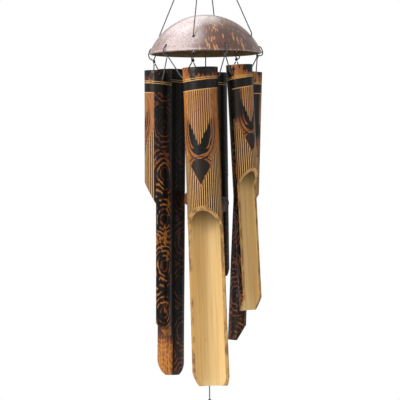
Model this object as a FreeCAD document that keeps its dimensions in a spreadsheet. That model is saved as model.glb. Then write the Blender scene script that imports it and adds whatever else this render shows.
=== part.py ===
import FreeCAD, Part

import math
import os

import Sketcher
from FreeCAD import Placement, Rotation, Vector

# A hanging bamboo wind chime, in millimetres. +Z is up, -Y is the front, and the origin is the
# centre of the ring that it hangs from. Directions round the vertical axis are azimuths in degrees:
# 0 is the front (-Y), 90 the right (+X), 180 the back and 270 the left.

SHEET = "Sizes"

# The driving dimensions, one cell each.
SIZES = {
    # Hang ring and the knot below it
    "ring_eye_radius": 6.0,
    "ring_wire_radius": 1.0,
    "ring_loop_clearance": 0.3,
    "top_knot_drop": 12.0,
    "top_knot_radius": 2.6,
    # Coconut shell, a cap of a sphere with its open side down
    "rim_drop": 144.0,
    "rim_radius": 58.4,
    "shell_height": 40.4,
    "shell_wall": 3.2,
    "rim_round": 0.9,
    # Two suspension cords, each in at one hole, across the inside and out at the hole opposite
    "side_cord_azimuth": 76.0,
    "side_cord_height": 17.0,
    "front_cord_azimuth": -14.0,
    "front_cord_height": 15.4,
    "suspension_hole_radius": 1.6,
    "crossing_knot_radius": 1.7,
    # Ties at the rim, each a loop of cord through its hole and a knot below the rim
    "rim_hole_height": 7.0,
    "rim_hole_radius": 1.6,
    "tie_circle_radius": 53.5,
    "tie_drop": 3.4,
    "loose_tie_drop": 7.0,
    "tie_knot_radius": 2.2,
    # Cord and knots in general
    "cord_radius": 0.6,
    "knot_gap": 0.3,
    "cord_bend_radius": 2.0,
    "cord_stand_off": 1.5,
    "cord_edge_room": 1.1,
    # Holes in the tubes, and the natural node that closes each tube below them
    "tube_hole_drop": 10.0,
    "tube_hole_radius": 1.4,
    "tube_node_drop": 13.5,
    "tube_node_thickness": 3.0,
    "waist_drop": 34.0,
    "cord_rise_in_hole": 0.5,
    # Striker: the disc on the central cord
    "striker_knot_radius": 2.0,
    "clapper_drop": 151.9,
    "clapper_radius": 23.2,
    "clapper_thickness": 15.5,
    "clapper_edge_round": 6.0,
    "clapper_hole_radius": 2.5,
    "clapper_hole_offset": 0.8,
    "clapper_lean": 11.0,
    "clapper_knot_radius": 3.2,
    # Wind catcher below the tubes
    "catcher_drop": 361.0,
    "catcher_width": 46.0,
    "catcher_length": 52.0,
    "catcher_top_width": 15.0,
    "catcher_shoulder": 26.0,
    "catcher_tip_width": 12.0,
    "catcher_thickness": 3.0,
    "catcher_corner_round": 4.5,
    "catcher_hole_drop": 5.0,
    "catcher_hole_radius": 2.0,
    "catcher_loop_radius": 3.4,
    "catcher_knot_radius": 1.8,
}

# The rim ties in order round the shell: name, azimuth, and the size that says how low its knot hangs.
TIES = (
    ("left", 264.0, "loose_tie_drop"),
    ("front_left", 313.4, "tie_drop"),
    ("front_right", 21.5, "tie_drop"),
    ("right", 84.0, "tie_drop"),
    ("back_right", 142.7, "tie_drop"),
    ("back_left", 194.3, "tie_drop"),
)

# The suspension cords, by the sizes that place them.
SUSPENSION_CORDS = ("side", "front")

# The tubes, each hung between two neighbouring ties. place is how far along the line from the first
# tie to the second its centre of mass hangs; lean_x is how far its foot stands out to +X, in degrees.
TUBES = {
    "front": {
        "ties": ("front_left", "front_right"),
        "top_diameter": 36.0,
        "waist_diameter": 34.8,
        "foot_diameter": 37.9,
        "wall": 3.4,
        "length": 322.4,
        "top_drop": 16.6,
        "scoop_start": 139.6,
        "scoop_slope": 0.75,
        "scoop_azimuth": -11.0,
        "split_offset": 0.0,
        "tip_rise": 15.7,
        "tip_depth": 12.0,
        "place": 0.63,
        "lean_x": 1.28,
    },
    "right_front": {
        "ties": ("front_right", "right"),
        "top_diameter": 27.0,
        "waist_diameter": 26.0,
        "foot_diameter": 25.4,
        "wall": 2.8,
        "length": 250.0,
        "top_drop": 13.3,
        "scoop_start": 105.1,
        "scoop_slope": 0.7,
        "scoop_azimuth": 42.0,
        "split_offset": 2.0,
        "tip_rise": 13.0,
        "tip_depth": 8.0,
        "place": 0.5,
        "lean_x": 2.3,
    },
    "right_back": {
        "ties": ("right", "back_right"),
        "top_diameter": 25.0,
        "waist_diameter": 25.4,
        "foot_diameter": 28.4,
        "wall": 2.8,
        "length": 279.3,
        "top_drop": 17.3,
        "scoop_start": 126.7,
        "scoop_slope": 0.7,
        "scoop_azimuth": 95.0,
        "split_offset": 2.6,
        "tip_rise": 15.9,
        "tip_depth": 8.7,
        "place": 0.71,
        "lean_x": -2.6,
    },
    "back": {
        "ties": ("back_right", "back_left"),
        "top_diameter": 26.0,
        "waist_diameter": 25.4,
        "foot_diameter": 26.4,
        "wall": 2.8,
        "length": 213.6,
        "top_drop": 16.5,
        "scoop_start": 92.0,
        "scoop_slope": 0.7,
        "scoop_azimuth": 169.0,
        "split_offset": 0.0,
        "tip_rise": 8.0,
        "tip_depth": 6.0,
        "place": 0.51,
        "lean_x": 0.0,
    },
    "left_back": {
        "ties": ("back_left", "left"),
        "top_diameter": 28.8,
        "waist_diameter": 28.6,
        "foot_diameter": 27.8,
        "wall": 2.9,
        "length": 317.4,
        "top_drop": 13.8,
        "scoop_start": 137.0,
        "scoop_slope": 0.7,
        "scoop_azimuth": 188.0,
        "split_offset": 0.0,
        "tip_rise": 15.0,
        "tip_depth": 12.0,
        "place": 0.585,
        "lean_x": -1.0,
    },
    "left_front": {
        "ties": ("left", "front_left"),
        "top_diameter": 28.0,
        "waist_diameter": 27.6,
        "foot_diameter": 27.2,
        "wall": 2.9,
        "length": 271.0,
        "top_drop": 17.0,
        "scoop_start": 113.8,
        "scoop_slope": 0.6,
        "scoop_azimuth": 262.0,
        "split_offset": 0.0,
        "tip_rise": 13.0,
        "tip_depth": 9.0,
        "place": 0.41,
        "lean_x": -0.69,
    },
}

# Fixed allowances of the drawing, not sizes of the object.
CUT_MARGIN = 4.0
FULL_TURN = 360.0
HALF_TURN = 180.0
KNOT_OVERLAP = 0.4
RUN_SHARE = 0.45


class Size:
    """A number together with the sheet expression that gives it."""

    def __init__(self, value, text):
        self.value = value
        self.text = text

    def _join(self, other, sign, value):
        other_text = other.text if isinstance(other, Size) else repr(other)
        return Size(value, f"({self.text} {sign} {other_text})")

    def __add__(self, other):
        return self._join(other, "+", self.value + number(other))

    def __sub__(self, other):
        return self._join(other, "-", self.value - number(other))

    def __mul__(self, other):
        return self._join(other, "*", self.value * number(other))

    def __truediv__(self, other):
        return self._join(other, "/", self.value / number(other))

    def __neg__(self):
        return Size(-self.value, f"(-{self.text})")


def number(size):
    """The plain number of a Size or a number."""
    return size.value if isinstance(size, Size) else size


class Model:
    """The document, its sheet of sizes and the finished sub-parts."""

    def __init__(self):
        self.doc = FreeCAD.newDocument("WindChime")
        self.sheet = self.doc.addObject("Spreadsheet::Sheet", SHEET)
        self.nodes = []
        self.rows = 0
        for alias, value in SIZES.items():
            self.add_size(alias, value)
        for name, tube in TUBES.items():
            for key, value in tube.items():
                if key != "ties":
                    self.add_size(f"{name}_{key}", value)
        for name, azimuth, _drop in TIES:
            self.add_size(f"{name}_tie_azimuth", azimuth)
        self.doc.recompute()

    def add_size(self, alias, value):
        """Write one driving dimension into the next row of the sheet."""
        self.rows += 1
        self.sheet.set(f"A{self.rows}", alias)
        self.sheet.set(f"B{self.rows}", str(value))
        self.sheet.setAlias(f"B{self.rows}", alias)

    def size(self, alias):
        """A driving dimension as a Size."""
        return Size(float(self.sheet.get(alias)), f"{SHEET}.{alias}")

    def mm(self, alias):
        """A driving dimension as a plain number."""
        return float(self.sheet.get(alias))

    def finish(self, obj, label):
        """Name a finished sub-part and keep it for the export."""
        obj.Label = label
        self.nodes.append(obj)
        return obj

    def bind(self, obj, **sizes):
        """Bind properties of a primitive to the sheet."""
        for prop, size in sizes.items():
            setattr(obj, prop, number(size))
            obj.setExpression(prop, size.text)

    def place(self, obj, x=None, y=None, z=None):
        """Bind an upright object's position to the sheet."""
        position = [number(v) if v else 0.0 for v in (x, y, z)]
        obj.Placement = Placement(Vector(*position), obj.Placement.Rotation)
        for axis, size in (("x", x), ("y", y), ("z", z)):
            if size:
                obj.setExpression(f"Placement.Base.{axis}", size.text)

    def primitive(self, kind, name, **sizes):
        """A Part primitive with bound sizes."""
        obj = self.doc.addObject(kind, name)
        self.bind(obj, **sizes)
        return obj

    def feature(self, name, shape):
        """A sub-part whose shape is made with Part's own functions."""
        obj = self.doc.addObject("Part::Feature", name)
        obj.Shape = shape
        obj.Placement = Placement()
        return self.finish(obj, name)


def direction(azimuth):
    """The horizontal unit vector at an azimuth."""
    angle = math.radians(azimuth)
    return Vector(math.sin(angle), -math.cos(angle), 0)


def plane_of(body, role):
    """One of a body's origin planes."""
    return next(f for f in body.Origin.OriginFeatures if f.Role == role)


def new_sketch(body, role, name, turn=0.0):
    """A sketch on an origin plane, turned about the vertical axis where turn is given."""
    sketch = body.newObject("Sketcher::SketchObject", name)
    sketch.AttachmentSupport = (plane_of(body, role), "")
    sketch.MapMode = "FlatFace"
    sketch.AttachmentOffset = Placement(Vector(), Rotation(Vector(0, 1, 0), turn))
    return sketch


def pin_point(sketch, geometry, end, x, y):
    """Fix one point of a sketch at a place given by the sheet."""
    for kind, size in (("DistanceX", x), ("DistanceY", y)):
        if number(size) == 0:
            axis = -2 if kind == "DistanceX" else -1
            sketch.addConstraint(Sketcher.Constraint("PointOnObject", geometry, end, axis))
            continue
        constraint = Sketcher.Constraint(kind, -1, 1, geometry, end, number(size))
        index = sketch.addConstraint(constraint)
        sketch.setExpression(f"Constraints[{index}]", size.text)


def draw_outline(sketch, corners):
    """A closed outline of straight lines through corners whose places come from the sheet."""
    count = len(corners)
    points = [Vector(number(x), number(y), 0) for x, y in corners]
    for i in range(count):
        sketch.addGeometry(Part.LineSegment(points[i], points[(i + 1) % count]), False)
    for i in range(count):
        following = (i + 1) % count
        sketch.addConstraint(Sketcher.Constraint("Coincident", i, 2, following, 1))
    for i, (x, y) in enumerate(corners):
        pin_point(sketch, i, 1, x, y)


def draw_circle(sketch, x, y, radius):
    """A circle whose centre and radius come from the sheet."""
    centre = Vector(number(x), number(y), 0)
    i = sketch.addGeometry(Part.Circle(centre, Vector(0, 0, 1), number(radius)), False)
    pin_point(sketch, i, 3, x, y)
    index = sketch.addConstraint(Sketcher.Constraint("Radius", i, number(radius)))
    sketch.setExpression(f"Constraints[{index}]", radius.text)


def revolve(body, sketch, name):
    """Turn a profile once round the body's vertical axis."""
    turned = body.newObject("PartDesign::Revolution", name)
    turned.Profile = sketch
    turned.ReferenceAxis = (sketch, ["V_Axis"])
    turned.Angle = FULL_TURN
    return turned


def cut_through(body, sketch, name, span):
    """Cut a profile both ways out of the solid, as far as span."""
    before = body.Shape.Volume if body.Tip else 0
    pocket = body.newObject("PartDesign::Pocket", name)
    pocket.Profile = sketch
    pocket.Length = number(span)
    pocket.setExpression("Length", span.text)
    pocket.Midplane = True
    body.Document.recompute()
    if before and pocket.Shape.Volume >= before:
        raise RuntimeError(f"{body.Name}: {name} cuts nothing")
    return pocket


def rounded_path(points, radius=None):
    """A wire of straight runs joined by tangent arcs, with its arc radii.

    Each arc is as large as its two runs allow, unless radius gives that of the edge it goes round.
    """
    edges, radii, start = [], [], points[0]
    for before, corner, after in zip(points, points[1:], points[2:]):
        into = (corner - before).normalize()
        out = (after - corner).normalize()
        half = into.getAngle(out) / 2
        shorter = min((corner - before).Length, (after - corner).Length)
        bend = radius or RUN_SHARE * shorter / math.tan(half)
        reach = bend * math.tan(half)
        first, last = corner - into * reach, corner + out * reach
        inward = (out - into).normalize()
        middle = corner + inward * (bend / math.cos(half) - bend)
        edges.append(Part.LineSegment(start, first).toShape())
        edges.append(Part.Arc(first, middle, last).toShape())
        radii.append(bend)
        start = last
    edges.append(Part.LineSegment(start, points[-1]).toShape())
    return Part.Wire(edges), radii


def sweep_cord(name, points, cord_radius, bend=None):
    """A round cord along a route, checked against its section times its length."""
    path, radii = rounded_path(points, bend)
    heading = (points[1] - points[0]).normalize()
    section = Part.Wire([Part.Circle(points[0], heading, cord_radius).toShape()])
    solid = path.makePipeShell([section], True, True)
    expected = math.pi * cord_radius**2 * path.Length
    if abs(solid.Volume - expected) > 0.01 * expected:
        raise RuntimeError(f"{name}: volume {solid.Volume:.2f} mm3, expected {expected:.2f}")
    text = ", ".join(f"{r:.2f}" for r in radii)
    print(f"cord {name}: length {path.Length:.1f} mm, bend radii [{text}] mm")
    return solid


def sphere_radius_of(model):
    """Radius of the sphere that the shell's outside is a cap of, from its rim and height."""
    rim, height = model.size("rim_radius"), model.size("shell_height")
    return (rim * rim + height * height) / (height * 2)


def hang_ring(model):
    """The steel ring that goes on a hook, its plane across the front."""
    eye, wire = model.size("ring_eye_radius"), model.size("ring_wire_radius")
    ring = model.primitive("Part::Torus", "hang_ring", Radius1=eye + wire, Radius2=wire)
    ring.Placement = Placement(Vector(), Rotation(Vector(1, 0, 0), 90))
    return model.finish(ring, "hang_ring")


def top_knot(model):
    """The knot of the four suspension cords, with the loop that goes round the ring's wire."""
    eye, wire = model.size("ring_eye_radius"), model.size("ring_wire_radius")
    cord, clear = model.size("cord_radius"), model.size("ring_loop_clearance")
    sizes = {"Radius1": wire + clear + cord, "Radius2": cord}
    loop = model.primitive("Part::Torus", "ring_loop", **sizes)
    loop.Placement = Placement(Vector(), Rotation(Vector(0, 1, 0), 90))
    model.place(loop, z=-(eye + wire))
    knot = model.primitive("Part::Sphere", "gather_knot", Radius=model.size("top_knot_radius"))
    model.place(knot, z=-model.size("top_knot_drop"))
    joined = model.doc.addObject("Part::Fuse", "top_knot")
    joined.Base, joined.Tool = loop, knot
    return model.finish(joined, "top_knot")


def drill(model, name, start, heading, length, radius):
    """A cylinder that drills one hole, from start along heading."""
    bit = model.primitive("Part::Cylinder", name, Radius=radius)
    bit.Height = length
    bit.Placement = Placement(start, Rotation(Vector(0, 0, 1), heading))
    return bit


def shell_hole(model, azimuth, height):
    """Where a line square to the shell at a height above the rim meets its outside, and the
    outward direction of that line, both in the shell's own frame."""
    radius = sphere_radius_of(model).value
    centre = Vector(0, 0, model.mm("shell_height") - radius)
    rise = height - centre.z
    outward = direction(azimuth) * math.sqrt(radius**2 - rise**2) + Vector(0, 0, rise)
    return centre + outward, outward.normalize()


def coconut_shell(model):
    """The half coconut shell: a domed cap with a rounded rim and its drilled holes."""
    doc, wall = model.doc, model.size("shell_wall")
    radius, height = sphere_radius_of(model), model.size("shell_height")
    centre_z = height - radius
    outer = model.primitive("Part::Sphere", "shell_outside", Radius=radius)
    model.place(outer, z=centre_z)
    inner = model.primitive("Part::Sphere", "shell_inside", Radius=radius - wall)
    model.place(inner, z=centre_z)
    hollow = doc.addObject("Part::Cut", "shell_hollow")
    hollow.Base, hollow.Tool = outer, inner
    span = model.size("rim_radius") * 3
    keep = model.primitive("Part::Cylinder", "shell_above_rim", Radius=span, Height=span)
    cap = doc.addObject("Part::Common", "shell_cap")
    cap.Base, cap.Tool = hollow, keep
    doc.recompute()
    rounded = doc.addObject("Part::Fillet", "shell_rounded_rim")
    rounded.Base = cap
    rim_round = model.mm("rim_round")
    rim_edges = [
        i
        for i, edge in enumerate(cap.Shape.Edges, 1)
        if abs(edge.BoundBox.ZMax) < 1e-6 and abs(edge.BoundBox.ZMin) < 1e-6
    ]
    rounded.Edges = [(i, rim_round, rim_round) for i in rim_edges]
    bits = []
    reach = wall.value + CUT_MARGIN
    holes = [(model.mm(f"{name}_tie_azimuth"), "rim_hole_height", "rim_hole_radius")
             for name, _azimuth, _drop in TIES]
    for cord in SUSPENSION_CORDS:
        azimuth = model.mm(f"{cord}_cord_azimuth")
        for side in (azimuth, azimuth + HALF_TURN):
            holes.append((side, f"{cord}_cord_height", "suspension_hole_radius"))
    for i, (azimuth, hole_height, hole_radius) in enumerate(holes):
        spot, outward = shell_hole(model, azimuth, model.mm(hole_height))
        start = spot + outward * (CUT_MARGIN / 2)
        size = model.size(hole_radius)
        bits.append(drill(model, f"drill_{i}", start, outward * -1, reach, size))
    bits_joined = doc.addObject("Part::MultiFuse", "shell_drills")
    bits_joined.Shapes = bits
    shell = doc.addObject("Part::Cut", "coconut_shell")
    shell.Base, shell.Tool = rounded, bits_joined
    model.place(shell, z=-model.size("rim_drop"))
    return model.finish(shell, "coconut_shell")


def crossing_height(model):
    """Height of the place inside the shell where the suspension cords cross."""
    inside = [shell_hole(model, 0, model.mm(f"{cord}_cord_height")) for cord in SUSPENSION_CORDS]
    depth = model.mm("shell_wall") + model.mm("cord_stand_off")
    levels = [(spot - outward * depth).z for spot, outward in inside]
    return sum(levels) / len(levels) - model.mm("rim_drop")


def suspension(model):
    """The two cords that carry the shell, and the knot where they cross inside it."""
    gather = Vector(0, 0, -model.mm("top_knot_drop"))
    rim = Vector(0, 0, -model.mm("rim_drop"))
    wall, stand_off = model.mm("shell_wall"), model.mm("cord_stand_off")
    start_radius = model.mm("top_knot_radius") - KNOT_OVERLAP
    for cord in SUSPENSION_CORDS:
        azimuth, height = model.mm(f"{cord}_cord_azimuth"), model.mm(f"{cord}_cord_height")
        halves = []
        for side in (azimuth, azimuth + HALF_TURN):
            spot, outward = shell_hole(model, side, height)
            outside = rim + spot + outward * stand_off
            inside = rim + spot - outward * (wall + stand_off)
            start = gather + (outside - gather).normalize() * start_radius
            halves.append([start, outside, inside])
        name = f"suspension_cord_{cord}"
        points = halves[0] + halves[1][::-1]
        model.feature(name, sweep_cord(name, points, model.mm("cord_radius")))
    knot = model.primitive(
        "Part::Sphere", "crossing_knot", Radius=model.size("crossing_knot_radius")
    )
    knot.Placement = Placement(Vector(0, 0, crossing_height(model)), Rotation())
    model.finish(knot, "crossing_knot")


def tie_knots(model):
    """Where the centre of each rim tie's knot hangs, by name."""
    rim, circle = model.mm("rim_drop"), model.mm("tie_circle_radius")
    places = {}
    for name, _azimuth, drop in TIES:
        out = direction(model.mm(f"{name}_tie_azimuth")) * circle
        places[name] = out + Vector(0, 0, -rim - model.mm(drop))
    return places


def rim_ties(model, knots):
    """The six ties: a loop of cord through the rim hole and round the rim, knotted below it.

    Each is drawn at the front and then turned round to its own azimuth.
    """
    rim, front = Vector(0, 0, -model.mm("rim_drop")), direction(0)
    cord, bend = model.mm("cord_radius"), 2 * model.mm("cord_radius")
    wall, room = model.mm("shell_wall"), 3 * model.mm("cord_radius")
    spot, outward = shell_hole(model, 0, model.mm("rim_hole_height"))
    outside = rim + spot + outward * room
    inside = rim + spot - outward * (wall + room)
    below = rim + front * (model.mm("rim_radius") + room) - Vector(0, 0, room)
    ties = []
    for name, place in knots.items():
        knot = front * model.mm("tie_circle_radius") + Vector(0, 0, place.z)
        inner_end = knot + (inside - knot).normalize() * 2 * cord
        outer_end = knot + (below - knot).normalize() * 2 * cord
        loop = sweep_cord(f"tie_{name}", [inner_end, inside, outside, below, outer_end], cord, bend)
        tie = loop.fuse(Part.makeSphere(model.mm("tie_knot_radius"), knot))
        tie.rotate(Vector(), Vector(0, 0, 1), model.mm(f"{name}_tie_azimuth"))
        ties.append(tie)
    model.feature("rim_ties", Part.makeCompound(ties))


def azimuth_of(vector):
    """The azimuth of a vector's horizontal direction."""
    return math.degrees(math.atan2(vector.x, -vector.y))


def tube_body(model, name, hole_turn):
    """One bamboo tube in its own frame: its top centre at the origin, its scoop at the front.

    A node closes the tube below the cord holes, which run at hole_turn degrees from the scoop.
    The scoop is a slanting saw cut down to the split, which runs on to a slanting tip.
    """
    def own(key):
        return model.size(f"{name}_{key}")

    body = model.doc.addObject("PartDesign::Body", f"tube_{name}")
    top, waist, foot = own("top_diameter") / 2, own("waist_diameter") / 2, own("foot_diameter") / 2
    wall, length, waist_z = own("wall"), own("length"), model.size("waist_drop")
    node = model.size("tube_node_drop")
    under_node = node + model.size("tube_node_thickness")
    axis = Size(0.0, "0")
    profile = new_sketch(body, "XZ_Plane", "wall_profile")
    corners = [(top, axis), (waist, -waist_z), (foot, -length), (foot - wall, -length)]
    corners += [(waist - wall, -waist_z), (top - wall, -under_node), (axis, -under_node)]
    corners += [(axis, -node), (top - wall, -node), (top - wall, axis)]
    draw_outline(profile, corners)
    revolve(body, profile, "wall")
    model.doc.recompute()

    split, slope = own("split_offset"), own("scoop_slope")
    start, tip_rise, tip_depth = own("scoop_start"), own("tip_rise"), own("tip_depth")
    outside = foot + CUT_MARGIN
    below = length + CUT_MARGIN
    tip_slope = tip_depth / tip_rise
    scoop = new_sketch(body, "YZ_Plane", "scoop_profile")
    cut = [(-outside, -(start - (outside - waist) / slope))]
    cut += [(-split, -(start + (waist - split) / slope)), (-split, -(length - tip_rise))]
    cut += [(tip_depth - split, -length), (tip_depth - split + tip_slope * CUT_MARGIN, -below)]
    cut += [(-outside, -below)]
    draw_outline(scoop, cut)
    cut_through(body, scoop, "scoop", outside * 2)

    holes = new_sketch(body, "XZ_Plane", "hole_profile", hole_turn)
    draw_circle(holes, axis, -model.size("tube_hole_drop"), model.size("tube_hole_radius"))
    cut_through(body, holes, "cord_holes", outside * 2)
    return model.finish(body, f"tube_{name}")


def hang_tube(model, name, knots):
    """Build one tube, hang it with its weight under the line between its ties, and lace its cord."""
    first, last = (knots[tie] for tie in TUBES[name]["ties"])
    along = last - first
    line = azimuth_of(along)
    facing = model.mm(f"{name}_scoop_azimuth")
    body = tube_body(model, name, line - facing)
    turn = Rotation(Vector(0, 1, 0), -model.mm(f"{name}_lean_x"))
    turn = turn * Rotation(Vector(0, 0, 1), facing)
    solid = body.Shape.Solids[0]
    heavy = turn.multVec(solid.CenterOfMass)
    target = first + along * model.mm(f"{name}_place")
    top = Vector(target.x - heavy.x, target.y - heavy.y, 0)
    top.z = -model.mm("rim_drop") - model.mm(f"{name}_top_drop")
    body.Placement = Placement(top, turn)

    reach = model.mm(f"{name}_top_diameter") / 2 + model.mm("cord_edge_room")
    side = direction(line - facing) * reach
    level = Vector(0, 0, model.mm("cord_rise_in_hole") - model.mm("tube_hole_drop"))
    near = body.Placement.multVec(level - side)
    far = body.Placement.multVec(level + side)
    clear = model.mm("tie_knot_radius") + model.mm("knot_gap")
    start = first + (near - first).normalize() * clear
    end = last + (far - last).normalize() * clear
    cord = f"cord_{name}"
    points = [start, near, far, end]
    model.feature(cord, sweep_cord(cord, points, model.mm("cord_radius"), model.mm("cord_bend_radius")))
    print(f"tube {name}: top centre {tuple(round(v, 2) for v in top)}")


def striker(model):
    """The striker: its knot under the crossing, its cord, the leaning disc and the knot below."""
    gap, cord = model.mm("knot_gap"), model.mm("cord_radius")
    pivot_radius, stop_radius = model.mm("striker_knot_radius"), model.mm("clapper_knot_radius")
    pivot = crossing_height(model) - model.mm("crossing_knot_radius") - gap - pivot_radius
    knot = model.primitive("Part::Sphere", "striker_knot", Radius=model.size("striker_knot_radius"))
    knot.Placement = Placement(Vector(0, 0, pivot), Rotation())
    model.finish(knot, "striker_knot")

    thickness = model.size("clapper_thickness")
    disc = model.primitive(
        "Part::Cylinder", "clapper_disc", Radius=model.size("clapper_radius"), Height=thickness
    )
    disc.Placement = Placement(Vector(-model.mm("clapper_hole_offset"), 0, 0), Rotation())
    model.doc.recompute()
    rounded = model.doc.addObject("Part::Fillet", "clapper_rounded")
    rounded.Base = disc
    edge_round = model.mm("clapper_edge_round")
    rims = [i for i, edge in enumerate(disc.Shape.Edges, 1) if edge.Closed]
    rounded.Edges = [(i, edge_round, edge_round) for i in rims]
    bore = model.primitive(
        "Part::Cylinder", "clapper_bore", Radius=model.size("clapper_hole_radius"),
        Height=thickness * 2,
    )
    bore.Placement = Placement(Vector(0, 0, -thickness.value / 2), Rotation())
    clapper = model.doc.addObject("Part::Cut", "clapper")
    clapper.Base, clapper.Tool = rounded, bore
    lean = Rotation(Vector(0, 1, 0), model.mm("clapper_lean"))
    middle = Vector(0, 0, -model.mm("rim_drop") - model.mm("clapper_drop"))
    half_up = lean.multVec(Vector(0, 0, thickness.value / 2))
    clapper.Placement = Placement(middle - half_up, lean)
    model.finish(clapper, "clapper")

    slant = math.cos(math.radians(model.mm("clapper_lean")))
    under = middle.z - (thickness.value / 2 + gap + stop_radius) / slant
    stop = model.primitive("Part::Sphere", "clapper_knot", Radius=model.size("clapper_knot_radius"))
    stop.Placement = Placement(Vector(0, 0, under), Rotation())
    model.finish(stop, "clapper_knot")
    straight_cord(model, "striker_cord", pivot - pivot_radius - gap, under + stop_radius + gap, cord)
    return under


def straight_cord(model, name, upper, lower, radius):
    """A cord hanging straight down the middle, from one height to another."""
    points = [Vector(0, 0, upper), Vector(0, 0, lower)]
    model.feature(name, sweep_cord(name, points, radius))


def catcher(model, stop_height):
    """The wind catcher: the long cord below the striker, its knot, the loop and the sail."""
    gap, cord = model.mm("knot_gap"), model.mm("cord_radius")
    top = -model.mm("rim_drop") - model.mm("catcher_drop")
    loop_radius, knot_radius = model.mm("catcher_loop_radius"), model.mm("catcher_knot_radius")
    hole = top - model.mm("catcher_hole_drop")
    loop = model.primitive(
        "Part::Torus", "catcher_loop", Radius1=model.size("catcher_loop_radius"),
        Radius2=model.size("cord_radius"),
    )
    upright = Rotation(Vector(0, 1, 0), 90)
    loop.Placement = Placement(Vector(0, 0, hole + loop_radius), upright)
    model.finish(loop, "catcher_loop")
    knot_height = hole + 2 * loop_radius + cord + gap + knot_radius
    knot = model.primitive("Part::Sphere", "catcher_knot", Radius=model.size("catcher_knot_radius"))
    knot.Placement = Placement(Vector(0, 0, knot_height), Rotation())
    model.finish(knot, "catcher_knot")
    start = stop_height - model.mm("clapper_knot_radius") - gap
    end = knot_height + knot_radius - KNOT_OVERLAP
    straight_cord(model, "lower_cord", start, end, cord)

    body = model.doc.addObject("PartDesign::Body", "wind_catcher")
    outline = new_sketch(body, "XZ_Plane", "sail_outline")
    half_top, half_tip = model.size("catcher_top_width") / 2, model.size("catcher_tip_width") / 2
    half_width, length = model.size("catcher_width") / 2, model.size("catcher_length")
    shoulder, level = model.size("catcher_shoulder"), Size(0.0, "0")
    right = [(half_top, level), (half_width, -shoulder), (half_tip, -length)]
    left = [(-x, z) for x, z in reversed(right)]
    draw_outline(outline, right + left)
    sail = body.newObject("PartDesign::Pad", "sail")
    sail.Profile = outline
    thickness = model.size("catcher_thickness")
    sail.Length = thickness.value
    sail.setExpression("Length", thickness.text)
    sail.Midplane = True
    model.doc.recompute()
    corners = [
        f"Edge{i}"
        for i, edge in enumerate(sail.Shape.Edges, 1)
        if abs(edge.Vertexes[0].Y - edge.Vertexes[-1].Y) > thickness.value / 2
    ]
    rounded = body.newObject("PartDesign::Fillet", "rounded_corners")
    rounded.Base = (sail, corners)
    corner_round = model.size("catcher_corner_round")
    rounded.Radius = corner_round.value
    rounded.setExpression("Radius", corner_round.text)
    model.doc.recompute()
    eye = new_sketch(body, "XZ_Plane", "eye_outline")
    draw_circle(eye, level, -model.size("catcher_hole_drop"), model.size("catcher_hole_radius"))
    cut_through(body, eye, "eye", thickness * 3)
    model.place(body, z=-(model.size("rim_drop") + model.size("catcher_drop")))
    return model.finish(body, "wind_catcher")


def write_parts(model):
    """Check every object and sub-part, then write each sub-part to its own file."""
    model.doc.recompute()
    faults = [o.Label for o in model.doc.Objects if {"Invalid", "Error"} & set(o.State)]
    for node in model.nodes:
        if node.Shape.isNull() or not node.Shape.isValid() or not node.Shape.Solids:
            faults.append(node.Label)
    if faults:
        raise RuntimeError(f"faulty objects: {faults}")
    os.makedirs("parts", exist_ok=True)
    for node in model.nodes:
        node.Shape.exportStep(f"parts/{node.Label}.step")
        print(f"{node.Label}: {node.Shape.Volume / 1000:.2f} cm3")


def main():
    """Build every sub-part, check them all and write them out."""
    model = Model()
    hang_ring(model)
    top_knot(model)
    coconut_shell(model)
    suspension(model)
    knots = tie_knots(model)
    rim_ties(model, knots)
    for name in TUBES:
        hang_tube(model, name, knots)
    catcher(model, striker(model))
    write_parts(model)


main()
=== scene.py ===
"""A wind chime of scooped bamboo tubes under a coconut shell, dressed round its CAD frame."""

import ast
import logging
import math
from dataclasses import dataclass
from enum import Enum

import bmesh
import bpy
from mathutils import Matrix, Vector, noise


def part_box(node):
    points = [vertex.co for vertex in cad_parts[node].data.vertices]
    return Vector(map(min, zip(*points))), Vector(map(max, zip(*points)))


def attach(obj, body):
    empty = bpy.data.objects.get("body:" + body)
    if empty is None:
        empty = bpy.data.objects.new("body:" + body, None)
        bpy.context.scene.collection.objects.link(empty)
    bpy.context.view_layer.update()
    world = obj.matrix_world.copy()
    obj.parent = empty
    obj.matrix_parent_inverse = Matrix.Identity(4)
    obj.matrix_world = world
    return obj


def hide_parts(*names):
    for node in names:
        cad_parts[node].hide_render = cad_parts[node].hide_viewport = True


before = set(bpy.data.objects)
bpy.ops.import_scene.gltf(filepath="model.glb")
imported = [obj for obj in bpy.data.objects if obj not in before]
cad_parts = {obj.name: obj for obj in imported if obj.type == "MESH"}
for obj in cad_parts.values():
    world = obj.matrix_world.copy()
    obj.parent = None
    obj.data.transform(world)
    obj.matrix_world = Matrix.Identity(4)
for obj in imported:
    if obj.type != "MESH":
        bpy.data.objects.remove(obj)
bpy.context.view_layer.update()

LOG = logging.getLogger("wind_chime")
MM = 0.001
Tree = bpy.types.NodeTree
Node = bpy.types.Node
Socket = bpy.types.NodeSocket | float


# ---------------------------------------------------------------- colours and shader nodes


def srgb(code: str) -> tuple[float, float, float, float]:
    """Turn an sRGB hex colour into the linear colour that shaders use.

    Args:
        code: Six hex digits, such as "C98F3E".

    Returns:
        Linear red, green, blue and an alpha of 1.
    """
    channels = [int(code[i : i + 2], 16) / 255 for i in (0, 2, 4)]
    linear = [c / 12.92 if c <= 0.04045 else ((c + 0.055) / 1.055) ** 2.4 for c in channels]
    return (*linear, 1.0)


def feed(tree: Tree, node: Node, inputs: dict) -> None:
    """Give a node's inputs their values, or links from sockets, by name or number."""
    for key, value in inputs.items():
        if isinstance(value, bpy.types.NodeSocket):
            tree.links.new(value, node.inputs[key])
        else:
            node.inputs[key].default_value = value


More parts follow.
